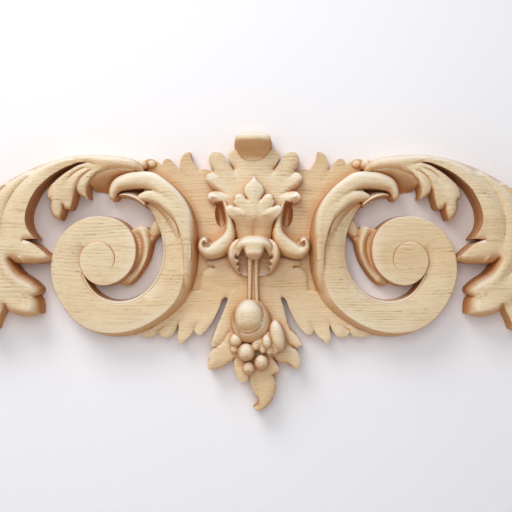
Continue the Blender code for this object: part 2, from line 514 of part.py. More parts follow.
def lower_wing(carving):
    """The leaf that spreads from under the hood, over its shoulders and out below the scroll."""
    leaf(carving, "lower_wing", LOWER_WING_DEPTH, [
        (0, 16), (18, 16), (32, 13.5), (40, 12.5), (45, 11, 0.95), (47, 8.5, 1.0), (45.5, 6, 0.95),
        (41, 4.8, 0.8), (46.5, 3.5, 0.95), (50.5, 0.5, 0.95), (52.8, -4, 0.95), (53.5, -11, 0.9),
        (55, -19, 0.85), (64, -20, 0.8), (72, -28, 0.75), (82, -38, 0.75), (96, -50, 0.75),
        (110, -59, 0.8), (119.5, -62, 0.9), (114, -65.2, 0.92), (107, -66.3, 0.95), (101, -65.3, 0.92),
        (97, -61, 0.85), (94.5, -65, 0.9), (89.5, -66.5, 0.95), (84, -65, 0.95), (80, -60.5, 0.9),
        (76.7, -52.5, 0.85), (76.4, -59, 0.95), (77.6, -66, 1.0), (76, -71.3, 1.02), (73, -73, 1.05),
        (69.7, -69, 1.05), (65, -65, 1.0), (60.7, -59, 0.9), (58.4, -62.5, 1.0), (54, -63.4, 1.05),
        (49.5, -59.8, 1.02), (44, -53, 1.0), (38.4, -43, 0.98), (34.6, -34.5, 0.95), (32.4, -28.5, 0.92),
        (29.5, -25.6, 0.9), (26, -27.5, 0.9), (18, -36), (0, -36)],
        [
            [(104, -62, 0.98), (89, -53, 0.88), (74, -42, 0.84), (58, -31, 0.86), (42, -18, 0.92)],
            [(95, -57.5, 0.85), (82, -49, 0.8), (68, -39, 0.8)],
            [(87.5, -62, 1.0), (78, -50, 0.9), (64, -39, 0.85), (48, -27, 0.88)],
            [(74, -51, 0.86), (62, -41, 0.8), (50, -31, 0.82)],
            [(73, -68, 1.06), (68, -55, 0.96), (58, -43, 0.87), (42, -28, 0.88)],
            [(59, -55, 0.9), (51, -43.5, 0.82), (42, -34, 0.84)],
            [(53.5, -59, 1.05), (46.5, -49, 0.99), (40.5, -38, 0.93), (35, -27, 0.9)],
            [(41, 9, 1.0), (28, 9, 0.95), (14, 8, 0.9)],
            [(48, -4, 1.0), (36, -2, 1.04), (22, -4, 1.0), (8, -8, 0.95)],
            [(50, -16, 0.9), (34, -13, 0.95), (14, -20, 0.95)],
        ], edge=0.88, whole=True)


def drop_leaf(carving):
    """The leaf that hangs at the middle, behind the fruit. Its tail turns to one side, and no two lobes match."""
    leaf(carving, "drop_leaf", DROP_LEAF_DEPTH, [
        (0, -14), (18, -16), (24.8, -22), (27.2, -30.4), (32.1, -42.9), (38.8, -57.8), (43, -67.8),
        (43.2, -73, 1.0), (40.5, -75.6, 1.0), (34, -73.5, 0.85), (41, -77.5, 0.9), (44.2, -81.5, 0.95),
        (46.1, -88.5, 1.0), (46.2, -97.8, 1.1), (37.4, -98, 1.0), (26.6, -92.8, 0.9), (19, -86.5, 0.85),
        (20.2, -94, 0.92), (18.3, -102, 0.95), (15.4, -108.5, 1.0), (12, -111.2, 1.02), (7.2, -110, 0.98),
        (4.4, -105.5, 0.85), (3.2, -113, 0.9), (0, -122, 0.92), (-4.6, -129.8, 0.9), (-3.6, -134, 0.9),
        (0.7, -137.2, 1.0), (-2.4, -140, 1.0), (-10.7, -137.6, 0.95), (-17.3, -131, 0.92),
        (-21.2, -121, 0.9), (-21.8, -110, 0.88), (-19.5, -104.5, 0.82), (-24, -102, 0.95),
        (-25.2, -98, 0.98), (-22.5, -92, 0.9), (-19, -86.5, 0.8), (-26, -91.5, 0.88), (-34, -92.8, 0.92),
        (-40.5, -99, 1.0), (-44.5, -96, 1.05), (-46.3, -88, 1.0), (-44.2, -81.2, 0.95),
        (-38, -75.2, 0.82), (-43.8, -76.6, 0.95), (-48.6, -72.8, 1.0), (-44.7, -66, 0.92), (-37.4, -57.8),
        (-32.2, -44.5), (-28.1, -30.4), (-25, -22), (-17, -16)],
        [
            [(40, -70, 1.0), (35, -57, 0.92), (27, -40, 0.88), (21, -28, 0.86)],
            [(31.5, -71, 0.82), (25, -60, 0.82)],
            [(42.5, -93, 1.1), (35, -85.5, 0.98), (25, -77, 0.9), (14, -66, 0.85)],
            [(13, -106.5, 1.02), (13, -97, 0.95), (10, -86, 0.88)],
            [(-3, -137, 0.98), (-10.5, -129, 1.02), (-13, -118, 1.0), (-10.5, -104, 0.92), (-6, -90, 0.88)],
            [(4.2, -100, 0.82), (3.5, -92, 0.84)],
            [(-45, -72, 1.0), (-38, -64.5, 0.95), (-30, -48, 0.9), (-22, -31, 0.87)],
            [(-35.5, -74, 0.82), (-28, -65, 0.84)],
            [(-41.5, -94, 1.05), (-36, -84.5, 1.0), (-27, -76, 0.92), (-18, -68, 0.86)],
            [(-22, -98.5, 0.98), (-17.5, -92, 0.92)],
        ], edge=0.86, sides=(-1,))


def fruit(carving):
    """The cluster: one split fruit with its husk, a long fruit, an almond and five berries."""
    fruit_ball(carving, "fruit_husk", (3, -49.5), (20.2, 22, 20), FRUIT_DEPTH * 0.93, segments=20)
    fruit_ball(carving, "fruit_ball", (5.7, -43.8), (15.2, 16, 16), FRUIT_DEPTH * 1.04, segments=16)
    fruit_ball(carving, "fruit_long", (-23.3, -64), (7.6, 16.5, 12), FRUIT_DEPTH * 0.85, segments=12, turn=-12)
    fruit_ball(carving, "fruit_almond", (-12.7, -69.5), (5.4, 7.4, 7), FRUIT_DEPTH * 0.9, segments=8, turn=-8)
    fruit_ball(carving, "fruit_bed", (-4, -78), (11, 9, 8), FRUIT_DEPTH * 0.68, segments=8)
    for name, centre, radius, share in (
        ("berry_1", (18.2, -68.5), 7.0, 0.74),
        ("berry_2", (7.8, -80.2), 8.8, 0.88),
        ("berry_3", (-7.2, -90.3), 7.6, 0.78),
        ("berry_4", (5.4, -96.2), 6.4, 0.74),
        ("berry_5", (19.5, -77.5), 5.0, 0.62),
    ):
        fruit_ball(carving, name, centre, (radius, radius, radius * 1.1), FRUIT_DEPTH * share)


def saw_block(carving):
    """The block behind the back plane that the saw takes away. It reaches past every block of the carving."""
    reach = max(abs(corner) for block in carving.blocks for point in block.bound_box for corner in point)
    thickness = 2 * carving.waste()
    bpy.ops.mesh.primitive_cube_add(size=1.0)
    block = bpy.context.object
    block.name = "saw_block"
    block.scale = (2.2 * reach, thickness, 2.2 * reach)
    block.location = (0, thickness / 2, 0)
    bpy.context.view_layer.update()
    block.data.transform(block.matrix_basis)
    block.matrix_basis.identity()
    block.hide_render = True
    block.display_type = "WIRE"
    return block


def oak_material():
    material = bpy.data.materials.new("oak")
    material.use_nodes = True
    shader = material.node_tree.nodes["Principled BSDF"]
    shader.inputs["Base Color"].default_value = OAK
    shader.inputs["Roughness"].default_value = OAK_ROUGHNESS
    shader.inputs["Metallic"].default_value = 0.0
    return material


def main():
    for old in list(bpy.data.objects):
        bpy.data.objects.remove(old)
    carving = Carving()
    for make in (scroll, bract, trunk, arch, wing, palmette, husk, whisker, hood, lower_wing, drop_leaf, fruit):
        make(carving)

    block = saw_block(carving)
    first = carving.blocks[0]
    onlay = bpy.data.objects.new("scroll_onlay", first.data.copy())
    bpy.data.objects.remove(first)
    home = bpy.data.collections.new("scroll_onlay")
    bpy.context.scene.collection.children.link(home)
    home.objects.link(onlay)
    onlay.data.materials.append(oak_material())

    joined = onlay.modifiers.new("joined", "BOOLEAN")
    joined.operation = "UNION"
    joined.operand_type = "COLLECTION"
    joined.collection = carving.collection
    joined.use_self = True
    sawn = onlay.modifiers.new("sawn", "BOOLEAN")
    sawn.operation = "DIFFERENCE"
    sawn.object = block


main()
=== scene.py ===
"""The looks of the carved scroll onlay: its carving as a fine mesh, raw oak, a wall and light.

The carving is drawn as the solid is, as (out, up) from the origin in units of the drawing, which is
DRAWING_UNITS high. out is the distance from the middle line to the left, which is side -1, and side 1 is its
mirror image. Heights of the relief are shares of the depth of their layer.
"""

import math

import bmesh
import bpy
import numpy as np
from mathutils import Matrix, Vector
from mathutils.geometry import delaunay_2d_cdt


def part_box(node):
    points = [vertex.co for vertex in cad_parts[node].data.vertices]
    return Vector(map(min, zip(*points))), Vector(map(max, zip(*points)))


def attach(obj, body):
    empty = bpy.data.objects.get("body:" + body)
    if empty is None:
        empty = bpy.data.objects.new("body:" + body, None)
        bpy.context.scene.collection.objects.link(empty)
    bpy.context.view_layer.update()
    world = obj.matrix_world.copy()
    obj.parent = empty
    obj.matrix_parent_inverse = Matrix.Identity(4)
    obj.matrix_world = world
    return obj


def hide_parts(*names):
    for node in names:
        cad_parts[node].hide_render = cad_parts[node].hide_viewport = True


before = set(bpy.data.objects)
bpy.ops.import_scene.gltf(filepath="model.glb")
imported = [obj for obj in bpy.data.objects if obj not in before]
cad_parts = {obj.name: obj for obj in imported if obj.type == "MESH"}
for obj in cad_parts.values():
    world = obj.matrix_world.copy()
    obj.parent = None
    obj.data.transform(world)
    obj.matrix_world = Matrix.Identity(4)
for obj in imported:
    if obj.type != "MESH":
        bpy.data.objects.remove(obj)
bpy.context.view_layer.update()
LOW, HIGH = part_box("scroll_onlay")

MM = 0.001
DRAWING_UNITS = 279.9
UNIT = (HIGH.z - LOW.z) / DRAWING_UNITS

# How far each layer of the relief stands out from the back.
WING_DEPTH = 17 * MM
LOWER_WING_DEPTH = 20 * MM
DROP_LEAF_DEPTH = 23 * MM
BRACT_DEPTH = 24 * MM
PALMETTE_DEPTH = 27 * MM
SCROLL_DEPTH = 31 * MM
WHISKER_DEPTH = 36 * MM
TRUNK_DEPTH = 41 * MM
ARCH_DEPTH = 43 * MM
HUSK_DEPTH = 41 * MM
HOOD_DEPTH = 49 * MM
FRUIT_DEPTH = 47 * MM

# How far the walls lean outwards on their way to the back, and how much wood behind it the saw takes off.
WALL_LEAN = 0.045
SAW_WASTE = 4 * MM
SAW_WASTE_STEP = 0.013 * MM

# The spiral scroll: where its eye is, and how far the ribbon's face falls towards its inner edge, until the
# fall fades out beside the eye. The ribbon's face lies a hair below the eye's.
SCROLL_CENTRE = (156, 13)
FACE_FALL = 3.0 * MM
FALL_ENDS_DEG = 395
FALL_FADE_DEG = 215
RIBBON_DROP = 0.05 * MM
RIBBON_START_DEG = -56
RIBBON_END_DEG = 406
SLOT_CLOSES_DEG = 140
EYE_START_DEG = 401
EYE_POINTS = 120

# How finely the carving is cut, in units of the drawing, and how much of each arris is taken off.
OUTLINE_STEP = 1.3
LINE_STEP = 1.6
SURFACE_STEP = 2.3
CUT_STEP = 1.2
ACROSS_STEPS = 14
TIP_STEPS = 5
TIP_END_DEG = 86
RIBBON_STEP_DEG = 2.5
FRUIT_SEGMENTS = 40
FRUIT_SPIN_DEG = 7
PIT_SEGMENTS = 28
SHARP_CORNER_DEG = 72
ARRIS = 0.7 * MM
ARRIS_WIDTH = 1 / 8
CREASE_DEG = 42

# A leaf's grid of points: its rows' spacing and its distance from the drawn lines, as shares of its step.
GRID_ROW_SHARE = 0.87
GRID_CLEARANCE = 0.55
NET_MERGE = 1e-4
# How exactly a leaf's surface is stretched between its lines.
LEAST_AREA = 1e-6
LEAST_PULL = 0.02
PULL_ROUNDS = 600
PULL_ENOUGH = 1e-18

# How high above the face a cutting tool starts, in millimetres.
CUT_ABOVE = 2.0

# The ribbon's inner edge has a quirk: (distance from the edge in units, depth in millimetres).
QUIRK = ((0, 1.4), (1.7, 0.35), (2.2, 0.9), (3.0, 0.0))
# How high the foot of the slope outside the ribbon is, and how far it rises towards its end.
SLOPE_FOOT = 12 * MM
SLOPE_RISE = 6 * MM
SLOPE_RISES_DEG = 50

# Outer edge of the scroll's ribbon: (angle, radius). The angle starts on the eye's side towards the middle
# line, and runs under the eye, out and over.
SPIRAL_EDGE = (
    (-60, 88), (0, 87), (15, 88), (27, 88.5), (38, 86), (51, 82.5), (64, 79.5), (81, 75.5), (93, 72.5),
    (135, 56), (180, 46.5), (225, 43), (270, 42.7), (315, 43), (360, 37), (405, 30.5), (450, 26),
    (495, 21), (540, 19.2), (600, 18), (660, 17), (720, 16.6), (765, 16.2),
)
# Inner edge of its outer turn, along the slot, from the top round to where the slot closes.
SLOT_EDGE = (
    (-60, 75), (-37, 70.6), (-8, 65.6), (10, 63), (28, 59), (49, 53), (67, 46.5), (87, 38), (110, 28),
    (150, 19),
)


# Helpers for the mesh.

class Carving:
    """The blocks that are joined into one piece of wood."""

    def __init__(self):
        self.blocks = []

    def waste(self):
        """Depth of wood behind the back that the saw takes off. No two blocks have the same."""
        return SAW_WASTE + SAW_WASTE_STEP * len(self.blocks)

    def add(self, name, solid, cut=False):
        bmesh.ops.triangulate(solid, faces=[f for f in solid.faces if len(f.verts) > 4])
        bmesh.ops.recalc_face_normals(solid, faces=solid.faces)
        mesh = bpy.data.meshes.new(name)
        solid.to_mesh(mesh)
        solid.free()
        block = bpy.data.objects.new(name, mesh)
        bpy.context.scene.collection.objects.link(block)
        self.blocks.append((block, "DIFFERENCE" if cut else "UNION"))


def place(out, up, height, side):
    """A point of the drawing in the frame: out and up in its units, height in metres from the back."""
    return (side * out * UNIT, -height, up * UNIT)


def smooth_curve(rows):
    """A function that gives every column smoothly from the distance along the rows' path, and its length."""
    rows = np.array(rows, float)
    chords = np.linalg.norm(np.diff(rows[:, :2], axis=0), axis=1)
    knots = np.concatenate([[0.0], np.cumsum(chords)])
    slopes = np.diff(rows, axis=0) / chords[:, None]
    tangents = np.empty_like(rows)
    tangents[0], tangents[-1] = slopes[0], slopes[-1]
    before, after = chords[:-1, None], chords[1:, None]
    tangents[1:-1] = (slopes[:-1] * after + slopes[1:] * before) / (before + after)
    if len(rows) > 2:
        tangents[0] = (3 * slopes[0] - tangents[1]) / 2
        tangents[-1] = (3 * slopes[-1] - tangents[-2]) / 2

    def at(distance):
        distance = np.asarray(distance, float)
        piece = np.clip(np.searchsorted(knots, distance) - 1, 0, len(chords) - 1)
        length = chords[piece][:, None]
        t = (distance[:, None] - knots[piece][:, None]) / length
        start, end = rows[piece], rows[piece + 1]
        leave, arrive = tangents[piece] * length, tangents[piece + 1] * length
        return (
            (2 * t**3 - 3 * t**2 + 1) * start
            + (t**3 - 2 * t**2 + t) * leave
            + (3 * t**2 - 2 * t**3) * end
            + (t**3 - t**2) * arrive
        )

    return at, knots[-1]


def along_line(rows, step):
    """Rows at even steps along a smooth line."""
    at, length = smooth_curve(rows)
    return at(np.linspace(0, length, max(2, math.ceil(length / step) + 1)))


def round_outline(rows, step):
    """A closed outline at even steps, smooth between its sharp corners."""
    rows = np.array(rows, float)
    ahead = np.roll(rows[:, :2], -1, axis=0) - rows[:, :2]
    behind = rows[:, :2] - np.roll(rows[:, :2], 1, axis=0)
    cross = behind[:, 0] * ahead[:, 1] - behind[:, 1] * ahead[:, 0]
    turn = np.degrees(np.abs(np.arctan2(cross, np.sum(ahead * behind, axis=1))))
    sharp = np.flatnonzero(turn > SHARP_CORNER_DEG)
    if not len(sharp):
        sharp = np.array([0])
    pieces = []
    for start, stop in zip(sharp, np.append(sharp[1:], sharp[0] + len(rows))):
        run = rows[np.arange(start, stop + 1) % len(rows)]
        pieces.append(along_line(run, step)[:-1])
    return np.concatenate(pieces)


def loft(rings, tip=None):
    """A closed solid through rings of as many points each, with flat ends or with a tip as its upper end."""
    solid = bmesh.new()
    grid = [[solid.verts.new(point) for point in ring] for ring in rings]
    size = len(grid[0])
    for here, there in zip(grid, grid[1:]):
        for i in range(size):
            j = (i + 1) % size
            solid.faces.new((here[i], here[j], there[j], there[i]))
    solid.faces.new(grid[0])
    if tip is None:
        solid.faces.new(reversed(grid[-1]))
        return solid
    top = solid.verts.new(tip)
    for i in range(size):
        solid.faces.new((grid[-1][i], grid[-1][(i + 1) % size], top))
    return solid


def oval(centre, radii, turn, segments, spin_deg, level, side):
    """A ring of points round an oval. turn is how far it leans over, and spin_deg where its points start."""
    cos_turn, sin_turn = math.cos(math.radians(turn)), math.sin(math.radians(turn))
    ring = []
    for spin in np.radians(np.arange(segments) * 360 / segments + spin_deg):
        x, z = radii[0] * math.cos(spin), radii[1] * math.sin(spin)
        out = centre[0] + x * cos_turn - z * sin_turn
        up = centre[1] + x * sin_turn + z * cos_turn
        ring.append(place(out, up, level, side))
    return ring


def strip(carving, name, depth, rows, edges=(0.8, 0.8), skew=0.0, crown=0.8, tip=4.0, root=0.0,
          sides=(-1, 1), across=ACROSS_STEPS):
    """A moulding or a leaf finger: a ridge along rows of (out, up, half width, height share).

    edges are the left and right edges' heights as shares of the ridge's, and skew moves the ridge to the
    right. Rows may give their own left edge, right edge and skew after the height. A low crown is round like
    a dowel, and a high one is a soft ridge. tip and root are the lengths over which the ends round off.
    """
    rows = [tuple(row) if len(row) == 7 else (*row, edges[0], edges[1], skew) for row in rows]
    at, length = smooth_curve(rows)
    turns = np.radians(np.linspace(0, TIP_END_DEG, TIP_STEPS + 1))
    middle = np.linspace(root, length - tip, max(3, math.ceil((length - tip - root) / LINE_STEP)))
    distance = np.concatenate([middle, length - tip + tip * np.sin(turns[1:])])
    ends = np.concatenate([np.ones(len(middle)), np.cos(turns[1:])])
    if root:
        distance = np.concatenate([root - root * np.sin(turns[:0:-1]), distance])
        ends = np.concatenate([np.cos(turns[:0:-1]), ends])
    path = at(distance)
    ahead = at(np.minimum(distance + 0.05, length)) - at(np.maximum(distance - 0.05, 0))
    direction = ahead[:, :2] / np.linalg.norm(ahead[:, :2], axis=1)[:, None]
    left = np.stack([-direction[:, 1], direction[:, 0]], axis=1)
    u = np.sin(np.linspace(-math.pi / 2, math.pi / 2, across + 1))
    for side in sides:
        waste = carving.waste()
        rings = []
        for (out, up, half, share, left_edge, right_edge, peak), across_way, end in zip(path, left, ends):
            ridge = depth * share
            off_ridge = np.where(u < peak, (peak - u) / (1 + peak), (u - peak) / (1 - peak))
            low = ridge * np.where(u < peak, left_edge, right_edge)
            rise = (1 - np.clip(off_ridge, 0, 1) ** 2) ** crown * end
            heights = low + (ridge - low) * rise - ARRIS * (1 - np.minimum(1, (1 - np.abs(u)) / ARRIS_WIDTH))
            spread = -u * half * end
            ring = [
                place(out + across_way[0] * s, up + across_way[1] * s, h, side)
                for s, h in zip(spread, heights)
            ]
            for k in (-1, 0):
                s = spread[k] + math.copysign((heights[k] + waste) * WALL_LEAN / UNIT, spread[k])
                ring.append(place(out + across_way[0] * s, up + across_way[1] * s, -waste, side))
            rings.append(ring)
        carving.add(f"{name}_{side}", loft(rings))


def spread_heights(count, pairs, weights, fixed, values):
    """Values over a whole surface from those at its fixed points, as a stretched skin would take them."""
    x = np.where(fixed, values, values[fixed].mean())
    size = np.bincount(pairs.ravel(), np.repeat(weights, 2), count)

    def pull(v):
        flow = weights * (v[pairs[:, 0]] - v[pairs[:, 1]])
        return np.bincount(pairs[:, 0], flow, count) - np.bincount(pairs[:, 1], flow, count)

    rest = np.where(fixed, 0.0, -pull(x))
    scaled = rest / size
    way = scaled.copy()
    amount = rest @ scaled
    for _ in range(PULL_ROUNDS):
        if amount < PULL_ENOUGH:
            break
        moved = np.where(fixed, 0.0, pull(way))
        pace = amount / (way @ moved)
        x = x + pace * way
        rest = rest - pace * moved
        scaled = rest / size
        amount, before = rest @ scaled, amount
        way = scaled + (amount / before) * way
    return x


def leaf_lines(rim, crests, grooves):
    """The points of a leaf's rim, crests and grooves, which of them are on a crest, and the lines' edges."""
    points = [rim]
    on_crest = [np.zeros(len(rim), bool)]
    edges = []
    count = len(rim)
    for lines, is_crest in ((crests, True), (grooves, False)):
        for line in lines:
            cut = along_line(line, LINE_STEP)
            edges += [(count + i, count + i + 1) for i in range(len(cut) - 1)]
            points.append(cut)
            on_crest.append(np.full(len(cut), is_crest))
            count += len(cut)
    return np.concatenate(points), np.concatenate(on_crest), edges


def leaf_net(points, edges, rim_size, step):
    """Triangles over a leaf that keep to its lines: their corners, faces, and each corner's point or -1."""
    low, high = points[:rim_size, :2].min(0), points[:rim_size, :2].max(0)
    rows = np.arange(low[1], high[1], step * GRID_ROW_SHARE)
    grid = np.array([
        (x + (k % 2) * step / 2, y) for k, y in enumerate(rows) for x in np.arange(low[0], high[0], step)
    ])
    distance = np.linalg.norm(grid[:, None] - points[None, :, :2], axis=2)
    grid = grid[np.min(distance, axis=1) > step * GRID_CLEARANCE]
    flat, _, faces, origins, _, _ = delaunay_2d_cdt(
        [Vector(p) for p in np.concatenate([points[:, :2], grid]).tolist()],
        edges, [list(range(rim_size))], 1, NET_MERGE)
    faces = np.array([f for f in faces if len(f) == 3])
    used = np.unique(faces)
    renumber = np.full(len(flat), -1)
    renumber[used] = np.arange(len(used))
    corners = np.array([(p.x, p.y) for p in flat])[used]
    own = np.array([min(origins[i], default=-1) for i in used])
    return corners, renumber[faces], np.where(own < len(points), own, -1)


def net_pulls(corners, faces):
    """The net's pairs of corners, how firmly each pair pulls, and which pairs lie on its rim."""
    pairs = np.sort(np.concatenate([faces[:, [0, 1]], faces[:, [1, 2]], faces[:, [2, 0]]]), axis=1)
    opposite = corners[np.concatenate([faces[:, 2], faces[:, 0], faces[:, 1]])]
    a, b = corners[pairs[:, 0]] - opposite, corners[pairs[:, 1]] - opposite
    area = np.abs(a[:, 0] * b[:, 1] - a[:, 1] * b[:, 0])
    cotangent = np.sum(a * b, axis=1) / np.maximum(area, LEAST_AREA)
    pairs, where, times = np.unique(pairs, axis=0, return_inverse=True, return_counts=True)
    weights = np.maximum(np.bincount(where.ravel(), cotangent) / 2, LEAST_PULL)
    return pairs, weights, times == 1


def leaf(carving, name, depth, outline, crests, grooves=(), edge=0.85, whole=False, sides=(-1, 1),
         fullness=0.7, step=SURFACE_STEP):
    """A leaf cut to an outline of (out, up) points, full along its crests and cut in along its grooves.

    Crests and grooves are lines of (out, up, height share). An outline point may give its own height share
    in place of the edge's. A whole leaf's outline goes from the middle line's top down to its foot, and is
    mirrored there. A low fullness makes the crests round, and 1 makes a soft ridge.
    """
    outline = [tuple(p) if len(p) == 3 else (*p, edge) for p in outline]
    crests, grooves = list(crests), list(grooves)
    if whole:
        sides = (-1,)
        outline += [(-out, up, share) for out, up, share in reversed(outline[1:-1])]
        for lines in (crests, grooves):
            lines += [[(-out, up, share) for out, up, share in line] for line in lines if line[0][0] > 1]
    rim = round_outline(outline, OUTLINE_STEP)
    points, on_crest, edges = leaf_lines(rim, crests, grooves)
    corners, faces, own = leaf_net(points, edges, len(rim), step)
    pairs, weights, outer = net_pulls(corners, faces)
    crest = (own >= 0) & on_crest[own]
    cut_in = (own >= 0) & ~on_crest[own]
    share = np.where(own >= 0, points[own, 2], 0.0)
    below = spread_heights(len(corners), pairs, weights, cut_in, share)
    above = spread_heights(len(corners), pairs, weights, crest, share)
    near = spread_heights(len(corners), pairs, weights, crest | cut_in, crest.astype(float))
    near = (1 - (1 - np.clip(near, 0, 1)) ** 2) ** fullness
    heights = depth * (below + (above - below) * near)
    heights[np.unique(pairs[outer])] -= ARRIS

    for side in sides:
        waste = carving.waste()
        solid = bmesh.new()
        top = [solid.verts.new(place(x, y, h, side)) for (x, y), h in zip(corners, heights)]
        foot = [solid.verts.new(place(x, y, -waste, side)) for x, y in corners]
        for i, j, k in faces:
            solid.faces.new((top[i], top[j], top[k]))
            solid.faces.new((foot[k], foot[j], foot[i]))
        for i, j in pairs[outer]:
            solid.faces.new((top[i], top[j], foot[j], foot[i]))
        carving.add(f"{name}_{side}", solid)


def fruit_ball(carving, name, centre, radii, height, sides=(-1,), segments=FRUIT_SEGMENTS, turn=0.0):
    """A fruit or berry that rises from the back. radii are (across, up, depth of its dome)."""
    lifts = np.radians(np.linspace(0, 90, segments // 4 + 1))[:-1]
    for side in sides:
        base = height - radii[2] * UNIT
        levels = [(-carving.waste(), 1.0)]
        levels += [(base + radii[2] * UNIT * math.sin(a), math.cos(a)) for a in lifts]
        rings = []
        for level, shrink in levels:
            size = (radii[0] * shrink, radii[1] * shrink)
            rings.append(oval(centre, size, turn, segments, FRUIT_SPIN_DEG, level, side))
        carving.add(f"{name}_{side}", loft(rings, tip=place(*centre, height, side)))


def incise(carving, name, rows, sides=(-1,)):
    """A line cut with a veiner, along rows of (out, up, half width, height of the face and depth in mm)."""
    for side in sides:
        rings = []
        cut = along_line(rows, CUT_STEP)
        ahead = np.gradient(cut[:, :2], axis=0)
        ahead /= np.linalg.norm(ahead, axis=1)[:, None]
        for (out, up, half, face, depth), (x, y) in zip(cut, ahead):
            spread = half * (depth + CUT_ABOVE) / depth
            rings.append([
                place(out - y * spread, up + x * spread, (face + CUT_ABOVE) * MM, side),
                place(out + y * spread, up - x * spread, (face + CUT_ABOVE) * MM, side),
                place(out, up, (face - depth) * MM, side),
            ])
        carving.add(f"{name}_{side}", loft(rings), cut=True)


def pit(carving, name, centre, radii, top, face, depth, turn=0.0, sides=(-1,)):
    """A hollow with an oval mouth: where it starts, the level of the face and its depth, in millimetres."""
    for side in sides:
        rings = []
        for level, reach in ((top, 1.1), (face, 1.0), (face - depth * 0.75, 0.75), (face - depth, 0.2)):
            size = (radii[0] * reach, radii[1] * reach)
            rings.append(oval(centre, size, turn, PIT_SEGMENTS, 0, level * MM, side))
        carving.add(f"{name}_{side}", loft(rings), cut=True)


# The carving, layer by layer.

def radius_at(table, angle):
    """Radius of a spiral edge at an angle, smoothly through its table."""
    at, _ = smooth_curve([(row[0], 0.0, row[1]) for row in table])
    return float(at(np.array([np.clip(angle, table[0][0], table[-1][0]) - table[0][0]]))[0, 2])


def round_scroll(angle, radius):
    """The (out, up) of a point at an angle and a radius from the scroll's centre."""
    a = math.radians(angle)
    return SCROLL_CENTRE[0] - radius * math.cos(a), SCROLL_CENTRE[1] - radius * math.sin(a)


def scroll_point(angle, radius, height, side):
    return place(*round_scroll(angle, radius), height, side)


def ribbon_section(angle, waste, side):
    """The ribbon's section at an angle, from its outer arris over the face and the quirk to the back."""
    outer = radius_at(SPIRAL_EDGE, angle)
    beside_next_turn = radius_at(SPIRAL_EDGE, angle + 360) - 2.5
    inner = radius_at(SLOT_EDGE, angle) if angle < SLOT_CLOSES_DEG else beside_next_turn
    lean = (SCROLL_DEPTH + waste) * WALL_LEAN / UNIT
    fall = FACE_FALL * min(1.0, max(0.0, (FALL_ENDS_DEG - angle) / FALL_FADE_DEG))
    face = SCROLL_DEPTH - RIBBON_DROP
    rim = face - fall
    middle = inner + QUIRK[-1][0] + (outer - inner) * 0.4
    return [
        scroll_point(angle, outer, face - ARRIS, side),
        scroll_point(angle, outer - 0.5, face - ARRIS * 0.2, side),
        scroll_point(angle, outer - 1.1, face, side),
        scroll_point(angle, middle, face - fall * 0.5, side),
        *[scroll_point(angle, inner + inset, rim - sunk * MM, side) for inset, sunk in reversed(QUIRK)],
        scroll_point(angle, inner - lean, -waste, side),
        scroll_point(angle, outer + lean, -waste, side),
    ]


def scroll(carving):
    """The spiral ribbon: one turn and a half round the slot, and the eye as its end.

    Along the inner turn the eye stands above the ribbon beside it, and the step fades out over three
    quarters of a turn. A fine line carries the spiral on over the eye's face.
    """
    for side in (-1, 1):
        waste = carving.waste()
        lean = (SCROLL_DEPTH + waste) * WALL_LEAN / UNIT
        angles = np.arange(RIBBON_START_DEG, RIBBON_END_DEG + 0.1, RIBBON_STEP_DEG)
        carving.add(f"ribbon_{side}", loft([ribbon_section(angle, waste, side) for angle in angles]))
        angles = np.linspace(EYE_START_DEG, EYE_START_DEG + 356, EYE_POINTS)
        outline = [(angle, radius_at(SPIRAL_EDGE, angle)) for angle in angles]
        levels = [(1, -lean, -carving.waste())]
        levels += [(1, 0, SCROLL_DEPTH - ARRIS), (1, 0.5, SCROLL_DEPTH - ARRIS * 0.2)]
        levels += [(share, 1.1, SCROLL_DEPTH) for share in (1, 0.65, 0.35, 0.1)]
        carving.add(f"eye_{side}", loft([
            [scroll_point(a, share * (r - inset), level, side) for a, r in outline]
            for share, inset, level in levels
        ]))
    line = []
    for angle in np.arange(497, 748, 8):
        fade = min(1.0, (angle - 490) / 20, (762 - angle) / 60)
        line.append((*round_scroll(angle, radius_at(SPIRAL_EDGE, angle) + 0.2),
                     1.1 * fade, SCROLL_DEPTH / MM, 1.8 * fade))
    incise(carving, "spiral_line", line, sides=(-1, 1))


def slope(carving):
    """The plain steep slope outside the ribbon's lower half."""
    widths = ((-30, 10.5), (-12, 12.5), (0, 13), (20, 11.5), (35, 9), (50, 7), (65, 5.5), (80, 4), (97, 1.5))
    start, end = widths[0][0], widths[-1][0]
    for side in (-1, 1):
        waste = carving.waste()
        rings = []
        for angle in np.arange(start, end + 0.1, RIBBON_STEP_DEG):
            outer = radius_at(SPIRAL_EDGE, angle)
            width = radius_at(widths, angle)
            foot = SLOPE_FOOT + SLOPE_RISE * max(0.0, (angle - SLOPE_RISES_DEG) / (end - SLOPE_RISES_DEG))
            rings.append([
                scroll_point(angle, outer - 3, SCROLL_DEPTH - 1.5 * MM, side),
                scroll_point(angle, outer - 0.6, SCROLL_DEPTH - 0.3 * MM, side),
                scroll_point(angle, outer + 0.35, SCROLL_DEPTH - 1.0 * MM, side),
                scroll_point(angle, outer + width, foot, side),
                scroll_point(angle, outer + width + 0.8, -waste, side),
                scroll_point(angle, outer - 3, -waste, side),
            ])
        carving.add(f"slope_{side}", loft(rings))


